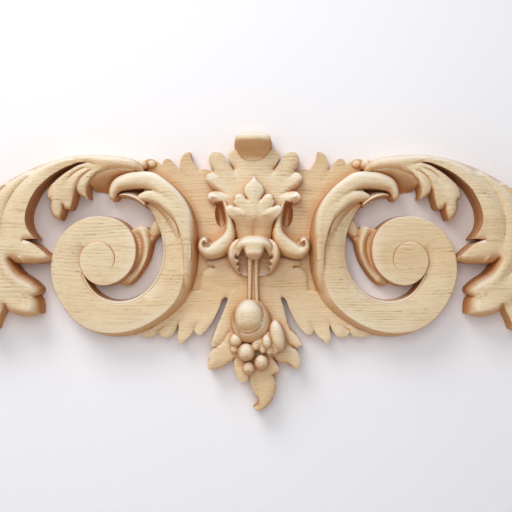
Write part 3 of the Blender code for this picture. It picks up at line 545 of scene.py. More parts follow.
def bract(carving):
    """The low leaf that joins the ribbon's inner edge to the coil, and wraps under the coil."""
    leaf(carving, "bract", BRACT_DEPTH, [
        (127, 39, 0.8), (122, 43, 0.84), (117, 45.7, 0.86), (111.3, 46.4, 0.87), (108, 45.4, 0.84),
        (105.7, 43, 0.76), (103.5, 47, 0.84), (101, 51.5, 0.88), (98, 54.5, 0.88), (93, 50, 0.8),
        (93, 40, 0.7), (97.5, 35.5, 0.62), (101, 30, 0.56), (103.2, 21, 0.54), (106, 12, 0.54),
        (112.5, 0.5, 0.54), (120, -9, 0.55), (128, -14, 0.6), (136, -12, 0.6), (127, 2, 0.66),
        (122, 16, 0.68), (122, 28, 0.7)],
        crests=[
            [(114.5, 44, 0.96), (110.8, 38.5, 1.0), (108.7, 32, 1.02), (107.8, 24, 1.02),
             (108.6, 15, 1.0), (112, 6.5, 0.96), (118, -3, 0.88), (126, -10, 0.8)],
            [(99.5, 52, 0.94), (100.2, 45, 0.9), (101.5, 38, 0.8)],
        ],
        grooves=[
            [(119, 41.5, 0.86), (115.5, 35, 0.76), (114, 26, 0.72), (115.2, 16, 0.7), (119.5, 6, 0.68),
             (126, -2, 0.66)],
            [(105.4, 41.5, 0.76), (104.2, 35, 0.7)],
        ], fullness=1.1, step=1.4)


def trunk(carving):
    """The moulding outside the ribbon: a plain slope at its foot, and two hooked tips at its top."""
    strip(carving, "trunk", TRUNK_DEPTH, [
        (69.5, -24, 2.5, 0.5, 0.62, 0.94, 0.5), (67, -14, 4.4, 0.66, 0.6, 0.94, 0.5),
        (64.7, -3, 6.4, 0.76, 0.42, 0.95, 0.5), (63.5, 12, 7.5, 0.84, 0.38, 0.94, 0.48),
        (63.6, 28, 7.7, 0.92, 0.46, 0.94, 0.38), (64.6, 42, 7.2, 0.97, 0.68, 0.94, 0.24),
        (66.6, 52, 6.9, 0.99, 0.85, 0.94, 0.1), (70.5, 62.5, 6.8, 1.0, 0.91, 0.95, 0.0),
        (78, 73, 7, 1.02, 0.93, 0.95, 0.0), (91.5, 85, 7.4, 1.02, 0.92, 0.94, 0.0),
        (103.5, 91, 8.6, 1.0, 0.87, 0.9, 0.0), (115, 92, 8.3, 0.99, 0.82, 0.88, 0.0),
        (127.5, 90.5, 8, 0.97, 0.78, 0.87, 0.0), (136.5, 86.5, 6.8, 0.93, 0.8, 0.87, 0.0),
        (140.8, 79, 4.6, 0.88, 0.86, 0.88, 0.0), (141, 71.5, 2.5, 0.82, 0.9, 0.9, 0.0)],
        crown=0.7, tip=3, root=4)
    strip(carving, "trunk_hook", TRUNK_DEPTH, [
        (68, 16, 2, 0.84), (69, 27, 2.6, 0.87), (71.8, 43, 4, 0.93), (76.3, 54.5, 5.4, 0.98),
        (83.5, 64, 6.4, 1.01), (92, 71.5, 6.6, 1.01), (101, 75, 6.2, 0.98), (109.5, 75, 5, 0.92),
        (116.5, 73.5, 2.5, 0.86)],
        edges=(0.92, 0.88), crown=0.7, tip=3)
    strip(carving, "hook_join", TRUNK_DEPTH, [
        (65.5, 12, 3, 0.84), (67, 30, 4.6, 0.915), (69.5, 46, 6, 0.975), (74.5, 58.5, 6.5, 1.0),
        (83, 70.5, 6.5, 1.005), (93, 78.5, 5, 0.985), (101, 83, 2.5, 0.94)],
        edges=(0.985, 0.985), crown=1.0, tip=3)
    strip(carving, "hook_web", TRUNK_DEPTH, [
        (137, 78, 2, 0.78), (130, 79.8, 3.4, 0.84), (121, 79, 4.8, 0.88), (112, 75, 5.4, 0.9),
        (105, 68.5, 5, 0.88)],
        edges=(0.94, 0.16), skew=-0.85, crown=1.8, tip=2, root=2)
    strip(carving, "hook_cove", TRUNK_DEPTH, [
        (110.5, 71, 3.4, 0.8, 0.3, 0.97, 0.8), (103, 67.2, 5.4, 0.87, 0.4, 0.97, 0.8),
        (95, 62, 6.4, 0.89, 0.55, 0.97, 0.8), (86.2, 53.4, 5.6, 0.86, 0.74, 0.98, 0.7),
        (79.6, 41.4, 4, 0.8, 0.84, 0.98, 0.6), (75.8, 31, 2.4, 0.74, 0.9, 0.98, 0.5)],
        crown=1.6, tip=3, root=2)


def arch(carving):
    """The acanthus over the scroll: a long leaf that falls outside it, and three lobes inside."""
    leaf(carving, "arch", ARCH_DEPTH, [
        (110.5, 101, 0.72), (112, 106, 0.76), (117.5, 111, 0.78), (130, 115, 0.74), (144, 116.5, 0.74),
        (158, 117.2, 0.74), (171, 117, 0.74), (188, 114.5, 0.73), (204, 110, 0.72), (217, 105.5, 0.71),
        (229, 100, 0.7), (242, 93.5, 0.68), (254, 86.5, 0.66), (270, 75, 0.64), (284, 62, 0.62),
        (298, 46, 0.62), (310, 30, 0.62), (321, 13, 0.63), (333, -3, 0.64), (346, -14, 0.66),
        (356, -18, 0.72), (362, -23, 0.78), (355, -32, 0.72), (342, -37.5, 0.68), (329, -36, 0.68),
        (319, -30.5, 0.7), (313, -24, 0.74), (314, -35, 0.72), (311.5, -45, 0.7), (305, -53, 0.7),
        (298, -56.5, 0.75), (292, -49, 0.74), (287, -41, 0.76), (283.5, -32, 0.78), (281, -45, 0.76),
        (275.5, -53.5, 0.74), (267, -58, 0.75), (260, -58.5, 0.8), (256, -48, 0.78), (252, -40, 0.8),
        (248.2, -32.5, 0.8), (244, -39, 0.78), (237, -43, 0.68), (229, -44.8, 0.66), (221, -44.4, 0.64),
        (214.4, -42.5, 0.66), (214.4, -35, 0.6), (215.4, -29, 0.58), (218.8, -24.3, 0.64),
        (215.4, -22, 0.68), (214.2, -18, 0.68), (218.6, -12, 0.58), (225.4, -6.6, 0.54),
        (232.5, -2, 0.54), (239, 5, 0.6), (244, 13.5, 0.72), (239, 9.2, 0.68), (233.5, 8.5, 0.68),
        (224, 8, 0.66), (214, 8.5, 0.66), (206.5, 10, 0.68), (201, 12.6, 0.76), (206, 17, 0.88),
        (211, 21.5, 0.9), (217, 26.5, 0.92), (223, 30, 0.93), (229.5, 32, 0.9), (223, 33.2, 0.92),
        (217.5, 33, 0.9), (221, 37.5, 0.96), (224.5, 43, 0.98), (226.5, 50, 1.0), (226.5, 57, 1.0),
        (224.5, 65, 1.0), (221, 73, 1.0), (216, 81.5, 1.0), (209, 89, 1.0), (200, 96.5, 1.0),
        (191, 102, 1.0), (182, 106, 1.0), (174, 108.6, 1.0), (167, 108.8, 0.98), (161, 105.5, 0.94),
        (155, 99.2, 0.9), (146, 102, 0.9), (134, 103.4, 0.88), (124, 102.6, 0.84), (117, 101, 0.76)],
        crests=[
            [(120, 107, 0.88), (132, 109, 0.94), (146, 110, 0.98), (158, 111, 0.99), (170, 111.8, 1.0),
             (186, 109.5, 1.0), (200, 104, 1.0), (212, 96, 1.0), (224, 83, 1.0), (233, 66, 0.99),
             (236.5, 49, 0.98), (234.5, 34, 0.96), (226, 22, 0.94), (210, 15.5, 0.91)],
            [(226, 95.5, 0.93), (239, 84, 0.94), (251, 71, 0.95), (257, 55, 0.96), (259, 38, 0.96),
             (255, 22, 0.97), (248, 5, 0.96), (238, -10, 0.93), (222, -19, 0.84)],
            [(248, 87, 0.9), (264, 73, 0.93), (276, 54, 0.94), (281, 34, 0.95), (278, 13, 0.94),
             (267, -8, 0.93), (250, -26, 0.9), (224, -38, 0.88)],
            [(274, 68.5, 0.8), (288, 53, 0.86), (300, 34, 0.89), (304, 14, 0.89), (298, -8, 0.88),
             (282, -28, 0.86), (265, -51, 0.86)],
            [(304, 35, 0.7), (316, 16, 0.8), (320, -1, 0.83), (311, -17, 0.83), (304, -34, 0.82),
             (299, -50, 0.82)],
            [(324, 5, 0.7), (334, -12, 0.78), (345, -22, 0.8), (355, -25, 0.82)],
        ],
        grooves=[
            [(214, 100.5, 0.97), (223, 95, 0.92), (235, 84, 0.9), (244.5, 69, 0.89), (249.5, 53, 0.89),
             (249.5, 36, 0.9), (245, 23, 0.94)],
            [(218.8, -24.3, 0.76), (224, -23.2, 0.82), (230, -21, 0.9)],
            [(229, 8, 0.8), (232.5, 14.5, 0.93)],
            [(232, 95.5, 0.9), (244, 87.5, 0.88), (256, 76, 0.87), (264, 60, 0.86), (268, 42, 0.86),
             (266, 22, 0.86), (258, 3, 0.87), (246, -11, 0.91)],
            [(262, 78, 0.82), (276, 64, 0.83), (288, 46, 0.85), (293, 26, 0.85), (289, 4, 0.84),
             (277, -15, 0.82), (258, -29, 0.81)],
            [(287, 56, 0.72), (300, 42, 0.77), (310, 23, 0.8), (312, 6, 0.8), (303, -12, 0.78),
             (290, -27, 0.78)],
        ])
    leaf(carving, "arch_lobes", ARCH_DEPTH, [
        (116, 104, 0.74), (126, 109, 0.8), (144, 111, 0.84), (157, 110.5, 0.88), (166, 108.8, 0.93),
        (174, 106.5, 0.92), (182, 102.5, 0.89), (191, 96.5, 0.87), (198.5, 90, 0.87), (203.5, 84.5, 0.86),
        (205.7, 79, 0.85), (205.2, 73, 0.82), (202.7, 71.5, 0.8), (203.5, 66, 0.78), (202, 60, 0.78),
        (199, 54.5, 0.78), (194.7, 52, 0.8), (193, 55.5, 0.82), (191.2, 61, 0.84), (190.4, 67.5, 0.84),
        (188, 63, 0.82), (184, 63, 0.84), (181, 69.5, 0.88), (179, 77, 0.9), (176.7, 84, 0.88),
        (174.5, 78.5, 0.86), (171, 75.5, 0.84), (165.5, 73, 0.84), (166.4, 80, 0.88), (165.2, 86, 0.9),
        (161.5, 92, 0.9), (155, 98.5, 0.9), (146, 101.5, 0.89), (134, 102.8, 0.86), (124, 102, 0.82),
        (118, 101, 0.76)],
        crests=[
            [(164, 106, 0.98), (176, 101.8, 0.97), (187, 94.5, 0.97), (194.5, 83, 0.96),
             (196.5, 69, 0.92), (195, 58, 0.86)],
            [(158, 104.5, 0.97), (167.5, 99.5, 0.98), (176.5, 91.5, 0.98), (182.5, 81, 0.95),
             (185, 69, 0.88)],
            [(151, 104.5, 0.94), (158, 100.2, 0.96), (165, 93, 0.97), (169.5, 84, 0.94),
             (168.5, 77.5, 0.88)],
        ],
        grooves=[
            [(166, 103.3, 0.96), (174, 100.7, 0.93), (181, 95.5, 0.92), (185.2, 89, 0.945),
             (187.5, 83, 0.955)],
            [(161, 101, 0.945), (167.5, 97.7, 0.92), (172.7, 92.5, 0.91), (175.8, 86, 0.88)],
        ], step=1.6)
    strip(carving, "arch_web", ARCH_DEPTH, [
        (164.5, 85, 4.5, 0.78), (157, 89, 8.5, 0.8), (147, 91.5, 11.5, 0.82), (137, 95.5, 8.5, 0.83),
        (127, 98.2, 5, 0.83), (117, 99.2, 2.4, 0.8)],
        edges=(0.14, 0.97), skew=0.85, crown=1.5, tip=3, root=3)


def wing(carving):
    """The flat leaf behind the crest: three points along its top, and a small curl at its end."""
    leaf(carving, "wing", WING_DEPTH, [
        (104, 98), (110, 106), (111, 111.5, 1.0), (107, 114.2, 1.05), (103, 114.2, 1.05),
        (99, 112.3, 1.0), (93, 107.8, 0.95), (92.2, 111.5, 1.0), (89.5, 114.2, 1.05), (86, 114.4, 1.05),
        (82.5, 111.5, 1.0), (79, 106.5, 0.95), (74.7, 102.2, 0.9), (75, 109, 1.0), (73, 116.5, 1.05),
        (69, 120.2, 1.1), (64.8, 121.6, 1.1), (63.7, 115, 1.05), (60.2, 109, 1.0), (55.7, 103.8, 0.92),
        (51, 104.4, 0.95), (46, 103.2, 0.95), (41, 99, 0.9), (28, 92), (14, 82), (10, 57), (14, 27),
        (24, 10), (40, -3), (49, -20), (64, -20), (61, 2), (60, 27), (64, 50), (74, 72), (87, 86)],
        crests=[
            [(87, 111, 0.98), (82, 102, 0.92), (72, 88, 0.88), (61, 69, 0.86)],
            [(69, 115, 1.02), (67.5, 104, 0.95), (62, 89, 0.9), (54, 72, 0.86), (48, 50, 0.84)],
            [(48, 100, 0.92), (44, 86, 0.88), (38, 67, 0.84)],
        ],
        grooves=[
            [(74.4, 101, 0.86), (71.5, 96, 0.86), (67, 90, 0.88)],
        ], edge=0.84, fullness=1.0)
    for name, centre, radii, share in (
        ("wing_curl", (112.3, 108), (5.6, 5, 6), 1.75),
        ("wing_curl_tip", (104, 108.8), (5.6, 4.4, 5), 1.2),
    ):
        fruit_ball(carving, name, centre, radii, WING_DEPTH * share, sides=(-1, 1), segments=28)


def palmette(carving):
    """The upright leaf at the middle of the crest: its tip rolls forward, over three pairs of lobes."""
    leaf(carving, "palmette", PALMETTE_DEPTH, [
        (0, 122.5), (13, 122.5), (21.5, 122), (25, 119.5), (25.4, 115), (23.6, 110.5), (20, 103.5, 0.8),
        (24.8, 109), (28.4, 114.5, 0.98), (32, 118.5, 1.02), (37.5, 120.2, 1.05), (42, 119.4, 1.05),
        (44.7, 116, 1.02), (45.2, 111, 0.96), (43.8, 106, 0.92), (41, 101, 0.86), (44.5, 99.2, 0.98),
        (47.7, 96.5, 1.03), (48.2, 93, 1.0), (46, 88, 0.93), (42.5, 84, 0.88), (38, 81.5, 0.84),
        (42.5, 80.2, 1.1), (45.5, 77.7, 1.18), (46.4, 74.5, 1.18), (45, 71, 1.12), (41, 68.5, 1.05),
        (35, 66, 0.98), (28, 63, 0.92), (18, 56), (0, 50)],
        crests=[
            [(0, 114, 0.9), (0, 100, 0.97), (0, 72, 0.97)],
            [(38, 115, 1.06), (34, 107, 1.02), (26, 97, 0.99), (14, 82, 0.97)],
            [(44, 93.5, 1.06), (36, 90, 1.01), (24, 83.5, 0.99), (14, 75, 0.97)],
            [(42, 75.5, 1.24), (34, 74, 1.15), (24, 70, 1.02)],
        ],
        grooves=[
            [(19.7, 102, 0.84), (18, 98, 0.92), (16, 93, 0.97)],
            [(40.4, 99.5, 0.9), (36.5, 96.5, 0.95), (31, 93, 0.98)],
            [(37, 81.2, 0.86), (32, 79.7, 0.95), (27, 77.5, 0.99)],
        ], edge=0.94, whole=True, fullness=1.0, step=1.6)
    strip(carving, "palmette_roll", PALMETTE_DEPTH, [
        (1, 112, 9, 0.97), (1, 115.5, 12.4, 1.02), (1, 119, 14.8, 1.12), (1, 122.8, 16.4, 1.3),
        (1, 126.2, 17.1, 1.49), (1, 129.4, 17.3, 1.63), (1, 132.4, 17.2, 1.69), (1, 135.6, 16.6, 1.66),
        (1, 139.5, 15.2, 1.5)],
        edges=(0.94, 0.94), crown=0.5, tip=5, sides=(-1,), across=24)


def pockets(carving):
    """The deep ovals cut beside the crest's foot, behind the whiskers."""
    pit(carving, "pocket", (34, 57), (6.6, 14.5), 30, 24, 20.5, turn=-6, sides=(-1, 1))


def husk(carving):
    """The raised five-lobed leaf in front of the palmette, on a hollowed neck."""
    leaf(carving, "husk", HUSK_DEPTH, [
        (0, 96, 0.86), (1.8, 93.6, 0.87), (5, 90.4, 0.88), (8.4, 87, 0.89), (10.1, 83.5, 0.9),
        (10.3, 80.5, 0.9), (9.2, 77, 0.9), (7.2, 73.2, 0.88), (9.5, 76, 0.9), (12, 77.3, 0.92),
        (14.6, 77.6, 0.93), (17, 77.1, 0.93), (18.7, 76, 0.93), (20, 74.1, 0.93), (19.4, 72.2, 0.92),
        (20.8, 71, 0.93), (20.7, 68.6, 0.93), (18.4, 65, 0.9), (23, 66.4, 0.95), (26.4, 65.6, 0.97),
        (28.1, 63, 0.98), (27.4, 59.5, 0.98), (24.5, 55.5, 0.97), (20.8, 52, 0.94), (19.2, 48, 0.82),
        (18.7, 42, 0.7), (18, 35, 0.62), (14, 26, 0.62), (0, 22, 0.62)],
        crests=[
            [(0, 88, 0.95), (0, 79, 0.99), (0, 68, 1.01), (0, 59, 1.02), (0, 53.5, 0.99), (0, 49, 0.9),
             (0, 42, 0.78), (0, 32, 0.7)],
            [(16, 74, 0.98), (12, 70, 0.99), (7, 63, 1.01)],
            [(23.5, 62.5, 1.01), (18, 60, 1.02), (10, 57, 1.02)],
        ],
        grooves=[
            [(17.4, 64.8, 0.93), (14.5, 63.6, 0.965), (10.5, 61.7, 1.0)],
            [(6.6, 72.5, 0.9), (5.4, 70, 0.96), (4.6, 67, 1.0)],
        ], whole=True, fullness=0.65, step=1.3)


def whisker(carving):
    """The S-shaped scroll on each side of the husk, which ends in a small curl."""
    strip(carving, "whisker", WHISKER_DEPTH, [
        (30.5, 72, 2, 0.85), (26.6, 61, 3.0, 0.92), (24, 48, 4.3, 0.98), (24.3, 38, 6.3, 1.02),
        (29.5, 28.5, 8.2, 1.05), (38, 22, 8.2, 1.07), (46.5, 20, 6.3, 1.08), (51.6, 23.2, 4.2, 1.1),
        (52.9, 28.2, 3.0, 1.12), (50.6, 31.9, 2.7, 1.14), (47.2, 31, 2.5, 1.14), (46.4, 27.8, 2.0, 1.1)],
        edges=(0.82, 0.78), crown=0.6, tip=1.5)
    fruit_ball(carving, "whisker_bed", (47.5, 27), (5, 5, 2), WHISKER_DEPTH * 0.92, sides=(-1, 1),
               segments=24)


def hood(carving):
    """The hooded bud under the husk, its two side petals over a low floor, and the stem of the fruit."""
    leaf(carving, "hood_floor", HOOD_DEPTH, [
        (0, 30), (20, 30), (25, 18), (22, 4), (14, -2), (8, -4), (0, -4)],
        crests=[[(0, 20, 0.42), (0, 4, 0.42)], [(12, 16, 0.36), (12, 6, 0.36)]], edge=0.5, whole=True)
    leaf(carving, "hood_cap", HOOD_DEPTH, [
        (0, 36.4, 0.72), (7, 36, 0.72), (13.5, 34, 0.7), (18, 30.5, 0.68), (20.2, 26, 0.68),
        (20.2, 22, 0.72), (18.8, 18.8, 0.78), (16.8, 15.4, 0.8), (14.7, 17.6, 0.84), (13, 21, 0.87),
        (10.4, 23.7, 0.88), (9.2, 19.5, 0.9), (7.2, 15.5, 0.86), (4, 12.6, 0.82), (0, 11.8, 0.8)],
        crests=[
            [(16, 25.5, 0.9), (9, 27.8, 0.98), (0, 28.6, 1.0)],
            [(6, 20, 1.0), (0, 19.5, 1.03)],
        ],
        grooves=[[(10.4, 23.7, 0.88), (9.6, 25.6, 0.955)]], whole=True, fullness=0.6, step=1.3)
    leaf(carving, "hood_petal", HOOD_DEPTH, [
        (12, 34, 0.66), (18.5, 32.4, 0.66), (23.2, 28.5, 0.68), (26, 23, 0.7), (26.5, 16.5, 0.7),
        (25, 10.5, 0.66), (22.4, 5.2, 0.6), (19, 0.4, 0.54), (14.4, -4, 0.5), (12.6, -0.6, 0.58),
        (15.4, 1.6, 0.62), (14.2, 5.4, 0.68), (17.4, 7.2, 0.7), (15.2, 11.4, 0.78), (18.4, 14.6, 0.78),
        (17.4, 19, 0.84), (18, 23, 0.84), (14, 27, 0.8)],
        crests=[
            [(17.5, 30, 0.8), (21.4, 25.5, 0.86), (22.4, 19.5, 0.88), (21.6, 13.5, 0.85), (19.6, 7.5, 0.76),
             (16.4, 1.5, 0.64)],
        ],
        sides=(-1, 1), fullness=0.6, step=1.2)
    strip(carving, "stem_bed", PALMETTE_DEPTH, [(0.9, 14, 3, 1.05), (0.9, -8, 3, 0.92), (0.9, -30, 3, 0.88)],
          edges=(0.95, 0.95), tip=1, sides=(-1,), across=6)
    for name, rows in (
        ("stem_left", [(4.2, 14, 2.9, 1.25), (4.2, -8, 2.5, 1.1), (4.5, -30, 2.4, 1.05)]),
        ("stem_right", [(-2.4, 14, 2.9, 1.2), (-2.2, -8, 2.5, 1.05), (-3.0, -30, 2.4, 1.0)]),
    ):
        strip(carving, name, PALMETTE_DEPTH, rows, edges=(0.85, 0.85), crown=0.5, tip=1, sides=(-1,),
              across=8)


def lower_wing(carving):
    """The leaf that spreads from under the hood, over its shoulders and out below the scroll."""
    leaf(carving, "lower_wing", LOWER_WING_DEPTH, [
        (0, 16), (18, 16), (32, 13.5), (40, 12.5), (45, 11, 0.95), (47, 8.5, 1.0), (45.5, 6, 0.95),
        (41, 4.8, 0.8), (46.5, 3.5, 0.95), (50.5, 0.5, 0.95), (52.8, -4, 0.95), (53.5, -11, 0.9),
        (55, -19, 0.85), (64, -20, 0.8), (72, -28, 0.75), (82, -38, 0.75), (96, -50, 0.75),
        (110, -59, 0.8), (119.5, -62, 0.9), (114, -65.2, 0.92), (107, -66.3, 0.95), (101, -65.3, 0.92),
        (97, -61, 0.85), (94.5, -65, 0.9), (89.5, -66.5, 0.95), (84, -65, 0.95), (80, -60.5, 0.9),
        (76.7, -52.5, 0.85), (76.4, -59, 0.95), (77.6, -66, 1.0), (76, -71.3, 1.02), (73, -73, 1.05),
        (69.7, -69, 1.05), (65, -65, 1.0), (60.7, -59, 0.9), (58.4, -62.5, 1.0), (54, -63.4, 1.05),
        (49.5, -59.8, 1.02), (44, -53, 1.0), (38.4, -43, 0.98), (34.6, -34.5, 0.95), (32.4, -28.5, 0.92),
        (29.5, -25.6, 0.9), (26, -27.5, 0.9), (18, -36), (0, -36)],
        crests=[
            [(104, -62, 0.96), (91, -54.5, 0.88), (76, -43, 0.84), (58, -31, 0.85), (42, -18, 0.9)],
            [(87.5, -62, 0.98), (79, -51, 0.9), (66, -40, 0.86), (48, -27, 0.88)],
            [(73, -68, 1.04), (68, -55, 0.95), (58, -43, 0.9), (42, -28, 0.89)],
            [(53.5, -59, 1.04), (47.5, -49, 0.98), (41.5, -38, 0.93), (36, -27, 0.9)],
            [(41, 9, 1.0), (28, 9, 0.95), (14, 8, 0.9)],
            [(48, -4, 1.0), (36, -2, 1.04), (22, -4, 1.0), (8, -8, 0.95)],
            [(50, -16, 0.9), (34, -13, 0.95), (14, -20, 0.95)],
        ],
        grooves=[
            [(96.5, -60, 0.82), (92, -56.5, 0.83), (86, -52, 0.88)],
            [(76.2, -51.5, 0.82), (73, -47.5, 0.85), (69, -44, 0.88)],
            [(60.5, -58, 0.86), (58.5, -54, 0.88), (55, -49, 0.93)],
        ], edge=0.9, whole=True, fullness=1.0, step=1.9)


def drop_leaf(carving):
    """The leaf that hangs behind the fruit. Its tail turns to one side, and no two lobes match."""
    leaf(carving, "drop_leaf", DROP_LEAF_DEPTH, [
        (0, -14), (18, -16), (24.8, -22), (27.2, -30.4), (32.1, -42.9), (38.8, -57.8), (43, -67.8),
        (43.2, -73, 1.0), (40.5, -75.6, 1.0), (34, -73.5, 0.85), (41, -77.5, 0.9), (44.2, -81.5, 0.95),
        (46.1, -88.5, 1.0), (46.2, -97.8, 1.1), (37.4, -98, 1.0), (26.6, -92.8, 0.9), (19, -86.5, 0.85),
        (20.2, -94, 0.92), (18.3, -102, 0.95), (15.4, -108.5, 1.0), (12, -111.2, 1.02), (7.2, -110, 0.98),
        (4.4, -105.5, 0.85), (3.2, -113, 0.9), (0, -122, 0.92), (-4.6, -129.8, 0.9), (-3.6, -134, 0.9),
        (0.7, -137.2, 1.0), (-2.4, -140, 1.0), (-10.7, -137.6, 0.95), (-17.3, -131, 0.92),
        (-21.2, -121, 0.9), (-21.8, -110, 0.88), (-19.5, -104.5, 0.82), (-24, -102, 0.95),
        (-25.2, -98, 0.98), (-22.5, -92, 0.9), (-19, -86.5, 0.8), (-26, -91.5, 0.88), (-34, -92.8, 0.92),
        (-40.5, -99, 1.0), (-44.5, -96, 1.05), (-46.3, -88, 1.0), (-44.2, -81.2, 0.95),
        (-38, -75.2, 0.82), (-43.8, -76.6, 0.95), (-48.6, -72.8, 1.0), (-44.7, -66, 0.92), (-37.4, -57.8),
        (-32.2, -44.5), (-28.1, -30.4), (-25, -22), (-17, -16)],
        crests=[
            [(40, -70, 1.0), (35, -57, 0.92), (27, -40, 0.88), (21, -28, 0.86)],
            [(42.5, -93, 1.1), (35, -85.5, 0.98), (25, -77, 0.9), (14, -66, 0.85)],
            [(13, -106.5, 1.02), (13, -97, 0.95), (10, -86, 0.88)],
            [(-3, -137, 0.98), (-10.5, -129, 1.02), (-13, -118, 1.0), (-10.5, -104, 0.92), (-6, -90, 0.88)],
            [(-45, -72, 1.0), (-38, -64.5, 0.95), (-30, -48, 0.9), (-22, -31, 0.87)],
            [(-41.5, -94, 1.05), (-36, -84.5, 1.0), (-27, -76, 0.92), (-18, -68, 0.86)],
            [(-22, -98.5, 0.98), (-17.5, -92, 0.92)],
        ],
        grooves=[
            [(31.5, -71, 0.82), (25, -60, 0.82)],
            [(4.2, -100, 0.82), (3.5, -92, 0.84)],
            [(-35.5, -74, 0.82), (-28, -65, 0.84)],
        ], edge=0.86, sides=(-1,), step=1.8)


def fruit(carving):
    """The cluster: one split fruit with its husk, a long fruit, an almond and five berries."""
    fruit_ball(carving, "fruit_husk", (3.2, -49.8), (20.6, 22, 18), FRUIT_DEPTH * 0.93, segments=56)
    fruit_ball(carving, "fruit_ball", (5.2, -44.6), (16, 17, 15), FRUIT_DEPTH * 1.02, segments=56)
    incise(carving, "husk_line", [
        (18.4, -36, 0.8, 38, 1.4), (19.4, -44, 0.9, 38.5, 1.6), (18.6, -53, 0.9, 38.5, 1.6),
        (14.2, -61, 0.8, 37, 1.4)])
    incise(carving, "ball_line", [
        (-8.6, -48, 0.7, 42, 1.2), (-5.5, -55, 0.9, 41.5, 1.6), (1.5, -60.2, 0.9, 40.5, 1.6),
        (9.5, -61.2, 0.9, 39.5, 1.6), (15.5, -58, 0.8, 38, 1.4)])
    fruit_ball(carving, "fruit_long", (-23.3, -64), (8.2, 16, 9), FRUIT_DEPTH * 0.84, turn=-12)
    fruit_ball(carving, "fruit_almond", (-12.7, -69.5), (5.4, 7.4, 7), FRUIT_DEPTH * 0.9, turn=-8)
    leaf(carving, "fruit_frill", FRUIT_DEPTH, [
        (2, -70), (3, -75.5), (-0.5, -78.5), (-4.5, -78), (-7.5, -81.8), (-11.6, -80.6), (-14.5, -84),
        (-18.5, -81.6), (-22, -82.4), (-25, -78.4), (-29, -75.6), (-30, -69), (-26, -61), (-10, -60)],
        crests=[
            [(-1, -77, 0.74), (-3, -71, 0.76)],
            [(-9, -80, 0.76), (-9.5, -73, 0.78)],
            [(-16, -82, 0.74), (-15, -74, 0.78)],
            [(-24, -79, 0.72), (-20.5, -72, 0.76)],
        ],
        grooves=[
            [(-5, -77.5, 0.68), (-6, -72, 0.72)],
            [(-12.3, -80, 0.68), (-12.5, -74, 0.72)],
            [(-20, -80.6, 0.68), (-18, -74, 0.72)],
        ], edge=0.68, sides=(-1,), fullness=0.7, step=1.1)
    for name, centre, radius, share in (
        ("berry_1", (18.2, -68.5), 7.0, 0.74),
        ("berry_2", (7.8, -80.2), 8.8, 0.88),
        ("berry_3", (-7.2, -90.3), 7.6, 0.78),
        ("berry_4", (5.4, -96.2), 6.4, 0.74),
        ("berry_5", (19.5, -77.5), 5.0, 0.62),
    ):
        fruit_ball(carving, name, centre, (radius, radius, radius * 1.1), FRUIT_DEPTH * share)
    for name, centre, share in (
        ("dot_2", (7, -83.6), 0.86),
        ("dot_3", (-9.6, -93.4), 0.76),
        ("dot_4", (5.8, -99), 0.72),
    ):
        face = FRUIT_DEPTH / MM * share
        pit(carving, name, centre, (0.9, 0.9), face + 1, face, 1.6)


def joined_carving():
    """One mesh of all the blocks, with its back sawn flat, no larger than the solid."""
    carving = Carving()
    for carve in (scroll, slope, bract, trunk, arch, wing, palmette, pockets, husk, whisker, hood,
                  lower_wing, drop_leaf, fruit):
        carve(carving)
    (whole, _), *others = carving.blocks
    for block, operation in others:
        step = whole.modifiers.new(block.name, "BOOLEAN")
        step.operation = operation
        step.solver = "MANIFOLD"
        step.object = block
    thickness = 2 * carving.waste()
    span = 1.2 * (HIGH - LOW)
    bpy.ops.mesh.primitive_cube_add(size=1.0)
    saw = bpy.context.object
    saw.scale = (span.x, thickness, 2 * span.z)
    saw.location = (0, thickness / 2, 0)
    sawn = whole.modifiers.new("sawn", "BOOLEAN")
    sawn.operation = "DIFFERENCE"
    sawn.solver = "MANIFOLD"
    sawn.object = saw
    bpy.context.view_layer.update()
    mesh = bpy.data.meshes.new_from_object(whole.evaluated_get(bpy.context.evaluated_depsgraph_get()))
    for old in [*(block for block, _ in carving.blocks), saw]:
        bpy.data.objects.remove(old)
    corners = np.empty(3 * len(mesh.vertices))
    mesh.vertices.foreach_get("co", corners)
    corners = np.clip(corners.reshape(-1, 3), np.array(LOW), np.array(HIGH))
    mesh.vertices.foreach_set("co", corners.ravel())
    mesh.materials.clear()
    mesh.shade_smooth()
    mesh.set_sharp_from_angle(angle=math.radians(CREASE_DEG))
    piece = bpy.data.objects.new("scroll_onlay_carving", mesh)
    bpy.context.scene.collection.objects.link(piece)
    return piece


# The finish: the oak's own colour, with light and shade painted into it.

# How widely and how deeply the hollows for the painted shade are looked for, on a grid of cells.
HOLLOW_CELL = 2 * MM
HOLLOW_REACH = 5
HOLLOW_DEPTH = 8 * MM


def mark_hollows(piece):
    """Note how far each point lies below the surface round it, from -1 (proud) to 1 (sunk), for painted
    shade in the hollows and a painted highlight on the proud parts.
    """
    mesh = piece.data
    points = np.empty(3 * len(mesh.vertices))
    mesh.vertices.foreach_get("co", points)
    points = points.reshape(-1, 3)
    height = -points[:, 1]
    column = ((points[:, 0] - LOW.x) / HOLLOW_CELL).astype(int) + HOLLOW_REACH
    row = ((points[:, 2] - LOW.z) / HOLLOW_CELL).astype(int) + HOLLOW_REACH
    tops = np.zeros((row.max() + 1 + HOLLOW_REACH, column.max() + 1 + HOLLOW_REACH))
    np.maximum.at(tops, (row, column), height)
    weight = (tops > 0).astype(float)
    for axis in (0, 1):
        tops, weight = (
            sum(np.roll(grid, shift, axis) * math.exp(-2 * (shift / HOLLOW_REACH) ** 2)
                for shift in range(-HOLLOW_REACH, HOLLOW_REACH + 1))
            for grid in (tops, weight))
    around = tops[row, column] / np.maximum(weight[row, column], 1e-6)
    hollow = mesh.attributes.new("hollow", "FLOAT", "POINT")
    hollow.data.foreach_set("value", np.clip((around - height) / HOLLOW_DEPTH, -1, 1))


